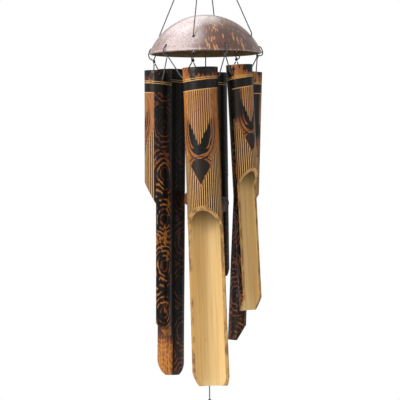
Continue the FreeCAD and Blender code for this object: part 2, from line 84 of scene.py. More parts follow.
def add_node(
    tree: Tree, kind: str, settings: dict | None = None, inputs: dict | None = None
) -> Node:
    """Add a shader node with its settings, values and links.

    Args:
        tree: The material's node tree.
        kind: The node type, without its "ShaderNode" prefix.
        settings: Attributes of the node.
        inputs: Values, or sockets to link, by the input's name or number.

    Returns:
        The new node.
    """
    node = tree.nodes.new("ShaderNode" + kind)
    for name, value in (settings or {}).items():
        setattr(node, name, value)
    feed(tree, node, inputs or {})
    return node


# Pattern words for the formulas below. Distances are in millimetres and negative inside a shape.
WORDS = {
    "fill": (("d",), "ease(d, 0.45, -0.45)"),
    "line": (("d", "w"), "ease(abs(d), w + 0.2, w - 0.2)"),
    "oval": (("x", "y", "a", "b"), "(sqrt(x*x/(a*a) + y*y/(b*b)) - 1) * min(a, b)"),
    "kite": (("x", "y", "a", "b"), "(abs(x)/a + abs(y)/b - 1) * min(a, b) * 0.8"),
    "comb": (("x", "pitch", "w"), "ease(abs(fract(x/pitch) - 0.5) * pitch, w + 0.2, w - 0.2)"),
    "band": (("x", "low", "high"), "fill(max(low - x, x - high))"),
}

OPERATIONS = {
    ast.Add: "ADD", ast.Sub: "SUBTRACT", ast.Mult: "MULTIPLY", ast.Div: "DIVIDE",
    "min": "MINIMUM", "max": "MAXIMUM", "abs": "ABSOLUTE", "sqrt": "SQRT", "fract": "FRACT",
    "sin": "SINE", "atan2": "ARCTAN2",
}


def formula(tree: Tree, text: str, known: dict[str, Socket]) -> Socket:
    """Build the Math nodes of a formula.

    Args:
        tree: The material's node tree.
        text: A sum, product or call of the words in OPERATIONS and WORDS, and ease(x, from, to).
        known: The sockets and numbers that the formula's names stand for.

    Returns:
        The socket that carries the result, or a number.
    """

    def operate(operation: str, *values: Socket) -> Socket:
        inputs = dict(enumerate(values))
        return add_node(tree, "Math", {"operation": operation}, inputs).outputs[0]

    def build(part: ast.AST, names: dict[str, Socket]) -> Socket:
        if isinstance(part, ast.Constant):
            return float(part.value)
        if isinstance(part, ast.Name):
            return names[part.id]
        if isinstance(part, ast.UnaryOp):
            value = build(part.operand, names)
            return -value if isinstance(value, float) else operate("MULTIPLY", value, -1.0)
        if isinstance(part, ast.BinOp):
            left, right = build(part.left, names), build(part.right, names)
            return operate(OPERATIONS[type(part.op)], left, right)
        word, values = part.func.id, [build(arg, names) for arg in part.args]
        if word == "ease":
            settings = {"interpolation_type": "SMOOTHSTEP"}
            return add_node(tree, "MapRange", settings, dict(enumerate(values))).outputs[0]
        if word in WORDS:
            params, body = WORDS[word]
            return build(ast.parse(body).body[0].value, dict(zip(params, values)))
        return operate(OPERATIONS[word], *values)

    return build(ast.parse(text).body[0].value, known)


def blend(tree: Tree, amount: Socket, low: Socket | str, high: Socket | str) -> Socket:
    """Mix two colours, each a socket or an sRGB hex code, by an amount from 0 to 1."""
    low, high = (srgb(c) if isinstance(c, str) else c for c in (low, high))
    inputs = {0: amount, 6: low, 7: high}
    return add_node(tree, "Mix", {"data_type": "RGBA"}, inputs).outputs[2]


def millimetres(tree: Tree) -> Socket:
    """The place on the piece, in its own frame, in millimetres."""
    place = add_node(tree, "TexCoord").outputs["Object"]
    scale = (1 / MM, 1 / MM, 1 / MM)
    return add_node(tree, "VectorMath", {"operation": "MULTIPLY"}, {0: place, 1: scale}).outputs[0]


def stretched_noise(
    tree: Tree, place: Socket, across: float, along: float, detail: float = 4.0
) -> Socket:
    """Noise whose grains are across by along millimetres, drawn out along Z."""
    scale = (1 / across, 1 / across, 1 / along)
    place = add_node(tree, "VectorMath", {"operation": "MULTIPLY"}, {0: place, 1: scale}).outputs[0]
    inputs = {"Vector": place, "Scale": 1.0, "Detail": detail, "Roughness": 0.6}
    return add_node(tree, "TexNoise", None, inputs).outputs[0]


def raise_surface(tree: Tree, shader: Node, height: Socket, depth_mm: float) -> None:
    """Give a shader a bump that is depth_mm millimetres deep where height goes from 0 to 1."""
    inputs = {"Height": height, "Distance": depth_mm * MM, "Strength": 1.0}
    feed(tree, shader, {"Normal": add_node(tree, "Bump", None, inputs).outputs[0]})


# ---------------------------------------------------------------- finishes


@dataclass(frozen=True)
class Finish:
    """What the finishes below share: a named material, painted by each in its own way."""

    name: str

    def material(self) -> bpy.types.Material:
        """Build the material."""
        material = bpy.data.materials.new(self.name)
        material.use_nodes = True
        tree = material.node_tree
        tree.nodes.clear()
        shader = add_node(tree, "BsdfPrincipled")
        add_node(tree, "OutputMaterial", None, {"Surface": shader.outputs[0]})
        self.paint(tree, shader, millimetres(tree))
        return material

    def paint(self, tree: Tree, shader: Node, place: Socket) -> None:
        """Add the finish's nodes.

        Args:
            tree: The material's node tree.
            shader: Its Principled shader.
            place: The place on the piece, in millimetres.
        """
        raise NotImplementedError


def finish_bamboo(tree: Tree, shader: Node, known: dict[str, Socket]) -> None:
    """Colour, gloss and carve bamboo skin.

    Args:
        tree: The material's node tree.
        shader: Its Principled shader.
        known: The patterns fibre, brown, char (how burnt) and cuts (how carved), from 0 to 1.
    """
    bare = blend(tree, known["fibre"], "A8621A", "D08C32")
    brown = blend(tree, known["fibre"], "6C3A12", "A9651F")
    colour = blend(tree, known["brown"], bare, brown)
    for low, high, tint in ((0.05, 0.4, "7A3A12"), (0.35, 0.75, "26170E"), (0.7, 1.0, "100D0A")):
        colour = blend(tree, formula(tree, f"ease(char, {low}, {high})", known), colour, tint)
    straw = blend(tree, known["fibre"], "D2994A", "F8D488")
    colour = blend(tree, known["cuts"], colour, straw)
    feed(tree, shader, {
        "Base Color": colour,
        "Roughness": formula(tree, "0.36 + fibre * 0.14 + cuts * 0.12", known),
        "Specular IOR Level": formula(tree, "0.5 - char * 0.3", known),
        "Coat Weight": 0.15,
        "Coat Roughness": 0.2,
    })
    height = formula(tree, "fibre * 0.1 - cuts * 0.8 - char * 0.08", known)
    raise_surface(tree, shader, height, 0.5)


@dataclass(frozen=True)
class Carving:
    """Where one tube's burning and carving lie. Millimetres and degrees.

    Attributes:
        facing: Azimuth of the scoop, which the pale carved side is centred on.
        start: Depth at which the scoop starts; the design above it is drawn out to fit.
        radius: The tube's radius.
        ring: Depth of the lower of the two ring lines.
        tilt: How much lower that ring is at the right than at the middle.
        length: The tube's length.
        shift: How far down the burnt whorls of the back are moved.
        smoke: How far soot covers the back's lines, from 0 to 1; the foot is worn bare as far up.
    """

    facing: float
    start: float
    radius: float
    ring: float
    tilt: float
    length: float
    shift: float
    smoke: float


@dataclass(frozen=True)
class BurntBamboo(Finish):
    """Bamboo skin burnt with a torch, carved with a gouge and varnished.

    Its burnt edges glow orange-brown, the gouge leaves straw-coloured lines, and the varnish gives
    it all a soft gloss with the fibres just showing.
    """

    name: str
    carving: Carving

    # In these, across is the distance round from the scoop, behind that from the tube's back, v
    # the depth with a hand's unevenness, rim the depth below the ring line, and d_ a distance to
    # a shape. Each line may use the ones before it.
    DESIGN = (
        ("pale", "ease(abs(angle), 1.5, 1.36)"),
        ("rim", "depth - ring - tilt * x / r"),
        ("above", "ease(rim, 0.3, -0.3)"),
        ("below", "ease(rim, 9.4, 10.2)"),
        # The burnt oval that the upper comb of lines runs into
        ("vee", "0.575 * start - 2.35 * abs(across) - v"),
        ("d_oval", "oval(across, v - 0.445 * start, 0.82 * r, 0.19 * start)"),
        ("lower_half", "ease(v, 0.3 * start, 0.4 * start)"),
        # The kite below it, under round arches
        ("drop", "v - 0.715 * start"),
        ("dome", "min(drop, 0) * 1.4"),
        ("d_dome", "sqrt(across * across + dome * dome) - 0.56 * r"),
        ("d_kite", "max(kite(across, max(drop, 0), 0.56 * r, 0.133 * start), d_dome)"),
        ("arches", "ease(drop, 0.5, -1.5) * ease(d_oval, 0.0, 0.8)"),
        ("skirt", "ease(v - 0.83 * start + 1.78 * abs(across), 0.3, 1.3) * ease(d_kite, 0.4, 1.1)"),
        # Carved lines
        ("ring_lines", "max(line(rim, 0.28), line(rim + 1.9, 0.26))"),
        ("comb_top", "line(rim - 10.0, 0.3) * pale"),
        ("inside", "ease(vee, -0.6, 0.6) * below * ease(abs(across), 0.76 * r, 0.7 * r)"),
        ("upper_comb", "comb(straight, 2.2, 0.27) * inside * (0.75 + 0.25 * lower_half)"),
        ("lower_comb", "comb(straight, 2.2, 0.32) * skirt * (0.65 + 0.35 * ease(w, 0.3, 0.5))"),
        ("cuts", "max(max(upper_comb, lower_comb) * pale, max(ring_lines, comb_top))"),
        # Burning on the pale side
        ("belt", "band(rim, 0.6, 9.4)"),
        ("d_crown", "oval(across - 0.5 * r, depth - 2.5, 1.05 * r, 6.8) + (n - 0.5) * 8"),
        ("crown", "above * ease(d_crown + (w - 0.42) * 18, 2.5, -1.5) * 0.92"),
        ("flecks", "above * ease(n + w * 0.8, 0.84, 1.0) * 0.8"),
        ("oval_black", "fill(d_oval + 2.2) * lower_half * ease(vee, 5.0, -1.0)"),
        ("oval_foot", "fill(max(d_oval, 0.585 * start - v))"),
        ("rims", "max(line(d_oval + 0.3, 0.55), line(d_oval - 2.7, 0.5) * 0.8) * lower_half"),
        ("arch_line", "max(line(d_dome - 3.2, 0.6), line(d_dome - 6.4, 0.4) * 0.6) * arches"),
        ("kite_black", "fill(d_kite) * 0.8"),
        ("between", "comb(straight + 1.1, 2.2, 0.5) * max(skirt * 0.7, inside * 0.5)"),
        ("burnt", "max(max(oval_black, oval_foot), max(rims, max(arch_line, kite_black)))"),
        ("licks", "ease(sin(d_oval * 1.5 + n * 3), 0.8, 1.0) * ease(d_oval, 13, 5) * 0.45"),
        ("soot", "ease(across + n * 8, 0.1 * r, -0.7 * r) * ease(v, 0.62 * start, 0.46 * start)"),
        ("burns", "max(max(burnt, min(soot * smoke * 2.8, 0.85)), max(between, licks))"),
        ("pale_char", "max(burns * below, max(crown, flecks))"),
        # The black back, with rings and flames round whorls that the torch left brown
        ("turn", "fract((v + shift) / 47)"),
        ("down", "(turn - 0.5) * 47"),
        ("side", "behind - 0.9 * r"),
        ("d_whorl", "sqrt(side * side * 1.8 + down * down)"),
        ("wave", "0.5 + 0.5 * sin((d_whorl + n * 12) * 1.25)"),
        ("rings_left", "ease(wave, 0.4, 1.0) * ease(d_whorl, 3.5, 7.0)"),
        ("foot", "ease(v, length - 14 - 60 * smoke, length - 4 - 30 * smoke)"),
        ("worn", "foot * (0.3 + 0.7 * ease(across, -1, 1))"),
        ("patch", "max(ease(n + w * 0.3, 0.5, 0.66), worn * 0.9)"),
        ("flame", "ease(n * 0.7 + w * 0.6, 0.7, 0.8) * 0.9"),
        ("fade", "(0.5 + 0.5 * ease(v, 60, 120)) * (1 - 0.75 * smoke * (1 - worn))"),
        ("worn_fibre", "worn * (0.5 + 0.5 * ease(fibre, 0.4, 0.58))"),
        ("glow", "max(max(rings_left * patch, flame) * fade, worn_fibre)"),
        ("back_char", "1 - glow * max(ease(behind, 0.5, 3.0), worn)"),
        ("grey", "belt * (1 - 0.12 * fibre)"),
        ("char", "max(grey, pale_char * pale + back_char * (1 - pale))"),
        # Browning round all of that
        ("near_oval", "ease(d_oval, 5.5, 0.0) * lower_half"),
        ("near_arch", "ease(d_dome, 8.5, 1.0) * arches"),
        ("near_comb", "inside * 0.75"),
        ("aura", "(0.5 + 0.5 * sin(d_oval * 1.5 + n * 3)) * ease(d_oval, 16, 3) * below * 0.8"),
        ("near_crown", "above * ease(d_crown, 6.0, 0.5)"),
        ("near_lines", "max(max(skirt, near_comb), near_crown)"),
        ("near", "max(max(near_oval, near_arch), max(near_lines, aura))"),
        ("smudge", "ease(n, 0.42, 0.62) * 0.85"),
        # Painted shade: the pale side is browned towards larger azimuths, its right as seen from the
        # front, 0.3 r to 1.1 r across.
        ("dusk", "ease(across + n * 6, 0.3 * r, 1.1 * r) * (0.5 + 0.45 * ease(w, 0.35, 0.6))"),
        ("side_brown", "max(near, max(smudge, dusk))"),
        ("brown", "max(side_brown * pale, (1 - pale) * (0.45 - 0.35 * worn))"),
    )

    def paint(self, tree: Tree, shader: Node, place: Socket) -> None:
        """Add the finish's nodes."""
        carving = self.carving
        x, y, z = add_node(tree, "SeparateXYZ", None, {0: place}).outputs
        facing = math.radians(carving.facing)
        # Real fibres are some 0.2 mm across; they are drawn at 0.5 mm so that they show.
        known: dict[str, Socket] = {
            "x": x, "y": y, "z": z,
            "fibre": stretched_noise(tree, place, 0.5, 30.0),
            "n": stretched_noise(tree, place, 8.0, 20.0, 2.0),
            "w": stretched_noise(tree, place, 2.6, 7.0, 3.0),
            "cos_s": math.cos(facing), "sin_s": math.sin(facing), "r": carving.radius,
            "start": carving.start, "ring": carving.ring, "tilt": carving.tilt,
            "length": carving.length, "shift": carving.shift, "smoke": carving.smoke,
        }
        for name, text in (
            ("angle", "atan2(x * cos_s + y * sin_s, x * sin_s - y * cos_s)"),
            ("wobble", "(n - 0.5) * 3.0 + (w - 0.5) * 1.4"),
            ("across", "angle * r + wobble"),
            ("straight", "angle * r + (n - 0.5) * 0.8"),
            ("behind", "(3.1416 - abs(angle)) * r + wobble * 0.7"),
            ("v", "(n - 0.5) * 4 + (w - 0.5) * 2.4 - z"),
            ("depth", "(w - 0.5) * 0.6 - z"),
        ) + self.DESIGN:
            known[name] = formula(tree, text, known)

        finish_bamboo(tree, shader, known)


@dataclass(frozen=True)
class CarvedSail(Finish):
    """The wind catcher's bamboo: varnished, its rim burnt black, carved with a comb over a kite.

    Sizes are in millimetres, and top is the height of the sail's top.
    """

    name: str = "burnt_bamboo_sail"
    top: float = 0.0
    half_width: float = 23.0
    shoulder: float = 26.0
    length: float = 52.0
    top_half: float = 7.5
    tip_half: float = 6.0

    # v is the depth below the top and edge the distance to the nearer slanted side.
    DESIGN = (
        ("upper", "(v * (half_width - top_half) / shoulder + top_half - abs(x)) * 0.86"),
        ("rest", "length - v"),
        ("taper", "(half_width - tip_half) / (length - shoulder)"),
        ("lower", "(rest * taper + tip_half - abs(x)) * 0.84"),
        ("edge", "min(min(upper, lower), min(v, rest)) + (n - 0.5) * 2.0"),
        ("d_kite", "kite(x, v - 30, 7.5, 12.0)"),
        ("d_eye", "oval(x, v - 5, 5.0, 5.0)"),
        ("field", "ease(edge, 4.6, 5.4) * ease(d_kite, 1.6, 2.4) * ease(d_eye, 1.4, 2.2)"),
        ("cuts", "max(comb(x, 2.2, 0.3) * field, line(edge - 4.0, 0.3))"),
        ("between", "comb(x + 1.1, 2.2, 0.45) * field * 0.7"),
        ("char", "max(max(ease(edge, 3.2, 2.2), fill(d_kite)), max(between, fill(d_eye) * 0.6))"),
        ("stain", "max(ease(d_kite, 5.0, 0.5), ease(n, 0.5, 0.7) * 0.6)"),
        ("brown", "max(ease(edge, 8.0, 3.0), stain)"),
    )

    def paint(self, tree: Tree, shader: Node, place: Socket) -> None:
        """Add the finish's nodes."""
        x, _y, z = add_node(tree, "SeparateXYZ", None, {0: place}).outputs
        known: dict[str, Socket] = {
            "x": x, "z": z, "top": self.top, "half_width": self.half_width, "length": self.length,
            "shoulder": self.shoulder, "top_half": self.top_half, "tip_half": self.tip_half,
            "fibre": stretched_noise(tree, place, 0.5, 30.0),
            "n": stretched_noise(tree, place, 8.0, 20.0, 2.0),
        }
        for name, text in (("v", "top - z"),) + self.DESIGN:
            known[name] = formula(tree, text, known)
        finish_bamboo(tree, shader, known)


@dataclass(frozen=True)
class BambooBore(Finish):
    """The bare inside wall of bamboo: smooth pale wood, fine fibres along it, and painted shade high
    inside.

    Attributes:
        name: The material's name.
        start: Depth at which the scoop starts; shade is painted on the wood above it. Millimetres.
    """

    name: str
    start: float

    def paint(self, tree: Tree, shader: Node, place: Socket) -> None:
        """Add the finish's nodes."""
        fibre = stretched_noise(tree, place, 0.7, 60.0)
        broad = stretched_noise(tree, place, 4.0, 120.0, 2.0)
        colour = blend(tree, fibre, "DDB878", "F0D298")
        amount = formula(tree, "ease(b, 0.35, 0.75) * 0.45", {"b": broad})
        colour = blend(tree, amount, colour, "C0924A")
        known = {
            "z": add_node(tree, "SeparateXYZ", None, {0: place}).outputs[2], "start": self.start,
            "speck": stretched_noise(tree, place, 0.9, 2.2, 1.0),
        }
        # Painted shade: the wall darkens above the scoop, in the recess under the arch.
        smoke = formula(tree, "ease(0 - z, start + 26, start + 2) * 0.75", known)
        colour = blend(tree, smoke, colour, "6B5025")
        specks = formula(tree, "ease(speck, 0.72, 0.78) * 0.5", known)
        colour = blend(tree, specks, colour, "7A4E22")
        feed(tree, shader, {"Base Color": colour, "Roughness": 0.5, "Specular IOR Level": 0.35})
        raise_surface(tree, shader, fibre, 0.12)


@dataclass(frozen=True)
class SawnBamboo(Finish):
    """Sawn and sanded bamboo edge: short end fibres, browned by the torch."""

    name: str = "bamboo_sawn_edge"

    def paint(self, tree: Tree, shader: Node, place: Socket) -> None:
        """Add the finish's nodes."""
        speck = stretched_noise(tree, place, 0.5, 1.0)
        colour = blend(tree, speck, "A67436", "D8AC66")
        burn = stretched_noise(tree, place, 5.0, 12.0, 2.0)
        amount = formula(tree, "ease(b, 0.42, 0.66) * 0.7", {"b": burn})
        colour = blend(tree, amount, colour, "5E3614")
        feed(tree, shader, {"Base Color": colour, "Roughness": 0.6})
        raise_surface(tree, shader, speck, 0.15)


@dataclass(frozen=True)
class LacqueredCoconut(Finish):
    """Coconut shell, scraped, waxed and lacquered: red-brown, pale fibre flecks, and a painted pink
    sheen.
    """

    name: str = "lacquered_coconut_shell"

    def paint(self, tree: Tree, shader: Node, place: Socket) -> None:
        """Add the finish's nodes."""
        x, y, _z = add_node(tree, "SeparateXYZ", None, {0: place}).outputs
        cloud = stretched_noise(tree, place, 14.0, 14.0, 3.0)
        known = {"x": x, "y": y, "cloud": cloud}
        # Round the shell and down its slope: a fleck is some 1 mm across and 5 mm long.
        round_it = formula(tree, "atan2(x, 0 - y) * 38 / 1.15 + cloud * 6", known)
        slope = formula(tree, "sqrt(x * x + y * y) / 5 + cloud * 2", known)
        grains = add_node(tree, "CombineXYZ", None, {0: round_it, 1: slope, 2: cloud})
        inputs = {"Vector": grains.outputs[0], "Scale": 1}
        cell = add_node(tree, "TexVoronoi", {"feature": "F1"}, inputs)
        pick = add_node(tree, "SeparateColor", None, {0: cell.outputs["Color"]}).outputs[0]
        known = {
            "d": cell.outputs["Distance"], "pick": pick, "x": x, "cloud": cloud,
            "grit": stretched_noise(tree, place, 1.6, 2.2, 3.0),
        }
        known["share"] = formula(tree, "ease(cloud + x * 0.007, 0.36, 0.56)", known)
        fleck = formula(tree, "ease(d, 0.44, 0.28) * ease(pick, 0.5, 0.6) * share", known)
        fine = stretched_noise(tree, place, 1.2, 3.5, 5.0)
        base = blend(tree, fine, "34150D", "6E3B28")
        mottled = formula(tree, "ease(cloud, 0.4, 0.7) * 0.6", known)
        base = blend(tree, mottled, base, "7A4630")
        # Painted sheen: a pale pink highlight painted over the left side (smaller x), pitted all over
        painted_sheen = formula(
            tree, "ease(x * 0.02 + cloud * 0.9, 0.52, 0.1) * ease(grit, 0.62, 0.5) * 0.5", known
        )
        base = blend(tree, painted_sheen, base, "CDB0AC")
        colour = blend(tree, fleck, base, "D99A62")
        feed(tree, shader, {
            "Base Color": colour, "Roughness": 0.38,
            "Coat Weight": 1.0, "Coat IOR": 1.85, "Coat Roughness": 0.27,
        })
        height = formula(tree, "fine * 0.5 + fleck * 0.5", {"fine": fine, "fleck": fleck})
        raise_surface(tree, shader, height, 0.25)


@dataclass(frozen=True)
class CoconutInside(Finish):
    """The scraped inside of the shell: matt olive brown with fine concentric scraping."""

    name: str = "coconut_shell_inside"

    def paint(self, tree: Tree, shader: Node, place: Socket) -> None:
        """Add the finish's nodes."""
        fine = stretched_noise(tree, place, 2.5, 1.0, 5.0)
        cloud = stretched_noise(tree, place, 12.0, 6.0, 2.0)
        colour = blend(tree, fine, "4E4020", "857040")
        amount = formula(tree, "ease(c, 0.4, 0.7) * 0.5", {"c": cloud})
        colour = blend(tree, amount, colour, "5B3A1E")
        feed(tree, shader, {"Base Color": colour, "Roughness": 0.7})
        raise_surface(tree, shader, fine, 0.2)


@dataclass(frozen=True)
class TwistedNylon(Finish):
    """Waxed nylon twine: fine strands laid round each other, with a slight sheen."""

    name: str = "twisted_nylon_cord"
    light: str = "6B6A6C"
    shade: str = "2B2A2C"

    def paint(self, tree: Tree, shader: Node, place: Socket) -> None:
        """Add the finish's nodes."""
        x, y, z = add_node(tree, "SeparateXYZ", None, {0: place}).outputs
        known = {"x": x, "y": y, "z": z}
        # The real lay is 0.8 mm; it is drawn at 1.5 mm so that it shows.
        strand = formula(tree, "abs(fract((z + x + y) / 1.5) - 0.5) * 2", known)
        # Painted shade: light on the crowns of the strands, shade in the grooves between them.
        colour = blend(tree, strand, self.shade, self.light)
        feed(tree, shader, {"Base Color": colour, "Roughness": 0.5, "Sheen Weight": 0.2})
        raise_surface(tree, shader, strand, 0.15)


@dataclass(frozen=True)
class TurnedCoconutWood(Finish):
    """Coconut palm wood, turned and oiled: brown with dark streaks, and painted shade on its right
    side.
    """

    name: str = "turned_coconut_wood"

    def paint(self, tree: Tree, shader: Node, place: Socket) -> None:
        """Add the finish's nodes."""
        x = add_node(tree, "SeparateXYZ", None, {0: place}).outputs[0]
        streak = stretched_noise(tree, place, 6.0, 0.8, 5.0)
        cloud = stretched_noise(tree, place, 9.0, 5.0, 2.0)
        colour = blend(tree, streak, "5A2D14", "A65F28")
        # Painted shade: the right side, at larger x, is blended to dark brown; the left keeps the
        # orange-brown.
        side = formula(tree, "ease(x + (c - 0.5) * 30, -8.0, 12.0)", {"x": x, "c": cloud})
        dark = blend(tree, streak, "1E1511", "4A3325")
        colour = blend(tree, side, colour, dark)
        feed(tree, shader, {"Base Color": colour, "Roughness": 0.42})
        raise_surface(tree, shader, streak, 0.2)


@dataclass(frozen=True)
class DrawnSteel(Finish):
    """Bright drawn steel wire: a metal shine with fine lines along it."""

    name: str = "drawn_steel_wire"

    def paint(self, tree: Tree, shader: Node, place: Socket) -> None:
        """Add the finish's nodes."""
        lines = stretched_noise(tree, place, 0.4, 2.0, 5.0)
        colour = blend(tree, lines, "9A9A98", "C9C9C6")
        rough = formula(tree, "0.25 + lines * 0.2", {"lines": lines})
        feed(tree, shader, {"Base Color": colour, "Metallic": 1.0, "Roughness": rough})
        raise_surface(tree, shader, lines, 0.03)


@dataclass(frozen=True)
class StudioPaper(Finish):
    """Matt white background paper, with the faint tooth of paper."""

    name: str = "studio_paper"

    def paint(self, tree: Tree, shader: Node, place: Socket) -> None:
        """Add the finish's nodes."""
        tooth = stretched_noise(tree, place, 3.0, 3.0)
        colour = blend(tree, tooth, "F4F4F3", "FAFAF9")
        feed(tree, shader, {"Base Color": colour, "Roughness": 0.9})


# ---------------------------------------------------------------- meshes and curves


def new_piece(name: str, data: bpy.types.ID) -> bpy.types.Object:
    """Put a mesh, a curve, a lamp or a camera in the scene."""
    piece = bpy.data.objects.new(name, data)
    bpy.context.scene.collection.objects.link(piece)
    return piece


def settle(piece: bpy.types.Object, body: str, node: str | None) -> None:
    """Fix a finished piece to its body.

    Args:
        piece: The piece.
        body: The CAD body that it moves with.
        node: The CAD node that it stands for, if any.
    """
    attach(piece, body)
    if node:
        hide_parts(node)


def mesh_of(bm: bmesh.types.BMesh, name: str) -> bpy.types.Mesh:
    """Turn a bmesh into a mesh and free it."""
    mesh = bpy.data.meshes.new(name)
    bm.to_mesh(mesh)
    bm.free()
    return mesh


def bridge(bm: bmesh.types.BMesh, upper: list, lower: list) -> list[bmesh.types.BMFace]:
    """Join two closed loops of vertices by a band of faces."""
    quads = zip(upper, lower, lower[1:] + lower[:1], upper[1:] + upper[:1])
    return [bm.faces.new(quad) for quad in quads]


def applied(piece: bpy.types.Object) -> None:
    """Apply a piece's modifiers to its mesh."""
    graph = bpy.context.evaluated_depsgraph_get()
    mesh = bpy.data.meshes.new_from_object(piece.evaluated_get(graph))
    piece.modifiers.clear()
    old, piece.data = piece.data, mesh
    mesh.name = old.name
    bpy.data.meshes.remove(old)


def smooth_shade(mesh: bpy.types.Mesh, angle: float = 35.0) -> None:
    """Shade a mesh smooth, but for edges sharper than an angle in degrees."""
    mesh.polygons.foreach_set("use_smooth", [True] * len(mesh.polygons))
    mesh.set_sharp_from_angle(angle=math.radians(angle))


def drill(piece: bpy.types.Object, holes: list[tuple[Vector, Vector, float]]) -> None:
    """Drill round holes in a piece.

    Args:
        piece: The piece, whose mesh is closed.
        holes: For each hole its two ends, in the piece's own frame, and its radius.
    """
    bits = bmesh.new()
    for start, end, radius in holes:
        along = end - start
        turn = along.to_track_quat("Z", "Y").to_matrix().to_4x4()
        middle = Matrix.Translation((start + end) / 2) @ turn
        bmesh.ops.create_cone(
            bits, cap_ends=True, segments=24, radius1=radius, radius2=radius,
            depth=along.length, matrix=middle,
        )
    mesh = mesh_of(bits, "drill_bits")
    cutter = new_piece("drill_bits", mesh)
    cutter.matrix_world = piece.matrix_world
    bore = piece.modifiers.new("bore", "BOOLEAN")
    bore.operation = "DIFFERENCE"
    bore.solver = "EXACT"
    bore.object = cutter
    bpy.context.view_layer.update()
    applied(piece)
    bpy.data.objects.remove(cutter)
    bpy.data.meshes.remove(mesh)


def spline_curve(
    name: str, routes: list[list[Vector]], radius: float, closed: bool = False
) -> bpy.types.Curve:
    """A round cord as a NURBS curve.

    Args:
        name: The curve's name.
        routes: The control points of each strand.
        radius: The cord's radius in metres.
        closed: Whether each strand joins up with its own start.

    Returns:
        The curve.
    """
    curve = bpy.data.curves.new(name, "CURVE")
    curve.dimensions = "3D"
    curve.bevel_depth = radius
    curve.bevel_resolution = 4
    curve.resolution_u = 10
    curve.use_fill_caps = True
    for route in routes:
        spline = curve.splines.new("NURBS")
        spline.points.add(len(route) - 1)
        for point, place in zip(spline.points, route):
            point.co = (*place, 1.0)
        spline.order_u = 3
        spline.use_endpoint_u = not closed
        spline.use_cyclic_u = closed
    return curve


def knot_route(centre: Vector, reach: float, cord_radius: float, turn: float = 0.0) -> list[Vector]:
    """Control points of a tightly pulled overhand knot.

    Args:
        centre: The knot's centre.
        reach: How far the knot reaches from its centre, outside of the cord.
        cord_radius: Radius of its cord.
        turn: How far it is turned about the vertical, in radians.

    Returns:
        Points of a closed route.
    """
    count = 24
    size = (reach - cord_radius) / 3.0  # the trefoil below reaches 3 units out
    points = []
    for i in range(count):
        t = 2 * math.pi * i / count
        out = 2 + math.cos(3 * t)
        flat = Vector((out * math.cos(2 * t), 1.2 * math.sin(3 * t), out * math.sin(2 * t)))
        points.append(centre + Matrix.Rotation(turn, 3, "Z") @ flat * size)
    return points


def level(azimuth: float) -> Vector:
    """The horizontal unit vector at an azimuth: 0 is the front, 90 the right."""
    angle = math.radians(azimuth)
    return Vector((math.sin(angle), -math.cos(angle), 0.0))


def top_centre(node: str) -> Vector:
    """Centre of the top face of an upright CAD node."""
    spread = 2 * MM
    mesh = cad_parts[node].data
    top = max(v.co.z for v in mesh.vertices)
    face = [v.co for v in mesh.vertices if v.co.z > top - spread]
    xs, ys = [p.x for p in face], [p.y for p in face]
    high, low = max(face, key=lambda p: p.z), min(face, key=lambda p: p.z)
    return Vector(((min(xs) + max(xs)) / 2, (min(ys) + max(ys)) / 2, (high.z + low.z) / 2))


# ---------------------------------------------------------------- sub-assemblies


class Face(Enum):
    """The sides of the coconut shell, by their material's place in its list."""

    OUTSIDE = 0
    INSIDE = 1


class Zone(Enum):
    """The parts of a bamboo tube's surface, by their material's place in its list."""

    SKIN = 0
    BORE = 1
    CUT = 2


@dataclass
class CordStock:
    """The one kind of cord that the chime is tied with. Sizes in millimetres."""

    radius: float = 0.6
    finish: TwistedNylon = TwistedNylon()
    material: bpy.types.Material | None = None

    def dress(self, piece: bpy.types.Object) -> bpy.types.Object:
        """Give a piece the cord's material and finish slot."""
        if self.material is None:
            self.material = self.finish.material()
        piece.data.materials.append(self.material)
        return piece

    def tie(
        self, name: str, node: str, body: str, routes: list[list[Vector]], tightness: float = 1.0
    ) -> None:
        """Tie closed turns of cord in place of a CAD knot.

        Args:
            name: The piece's name.
            node: The CAD node that the turns stand for.
            body: The body that they move with.
            routes: The control points of each turn, in metres.
            tightness: How much of its thickness the cord keeps where it is pulled tight.
        """
        curve = spline_curve(name, routes, self.radius * tightness * MM, closed=True)
        settle(self.dress(new_piece(name, curve)), body, node)

    def run(self, node: str, body: str, route: list[Vector], lay: str) -> None:
        """Lay one cord along its route, in metres, in place of its CAD node.

        Args:
            node: The CAD node that the cord stands for.
            body: The body that it moves with.
            route: Its control points, from where it leaves the object.
            lay: How it lies; not used.
        """
        curve = spline_curve(f"{node}_curve", [route], self.radius * MM)
        piece = self.dress(new_piece(f"{node}_line", curve))
        settle(piece, body, node)
        length = sum((b - a).length for a, b in zip(route, route[1:]))
        tuple(route[0])
        LOG.info("%s: %.0f mm of cord", node, length / MM)


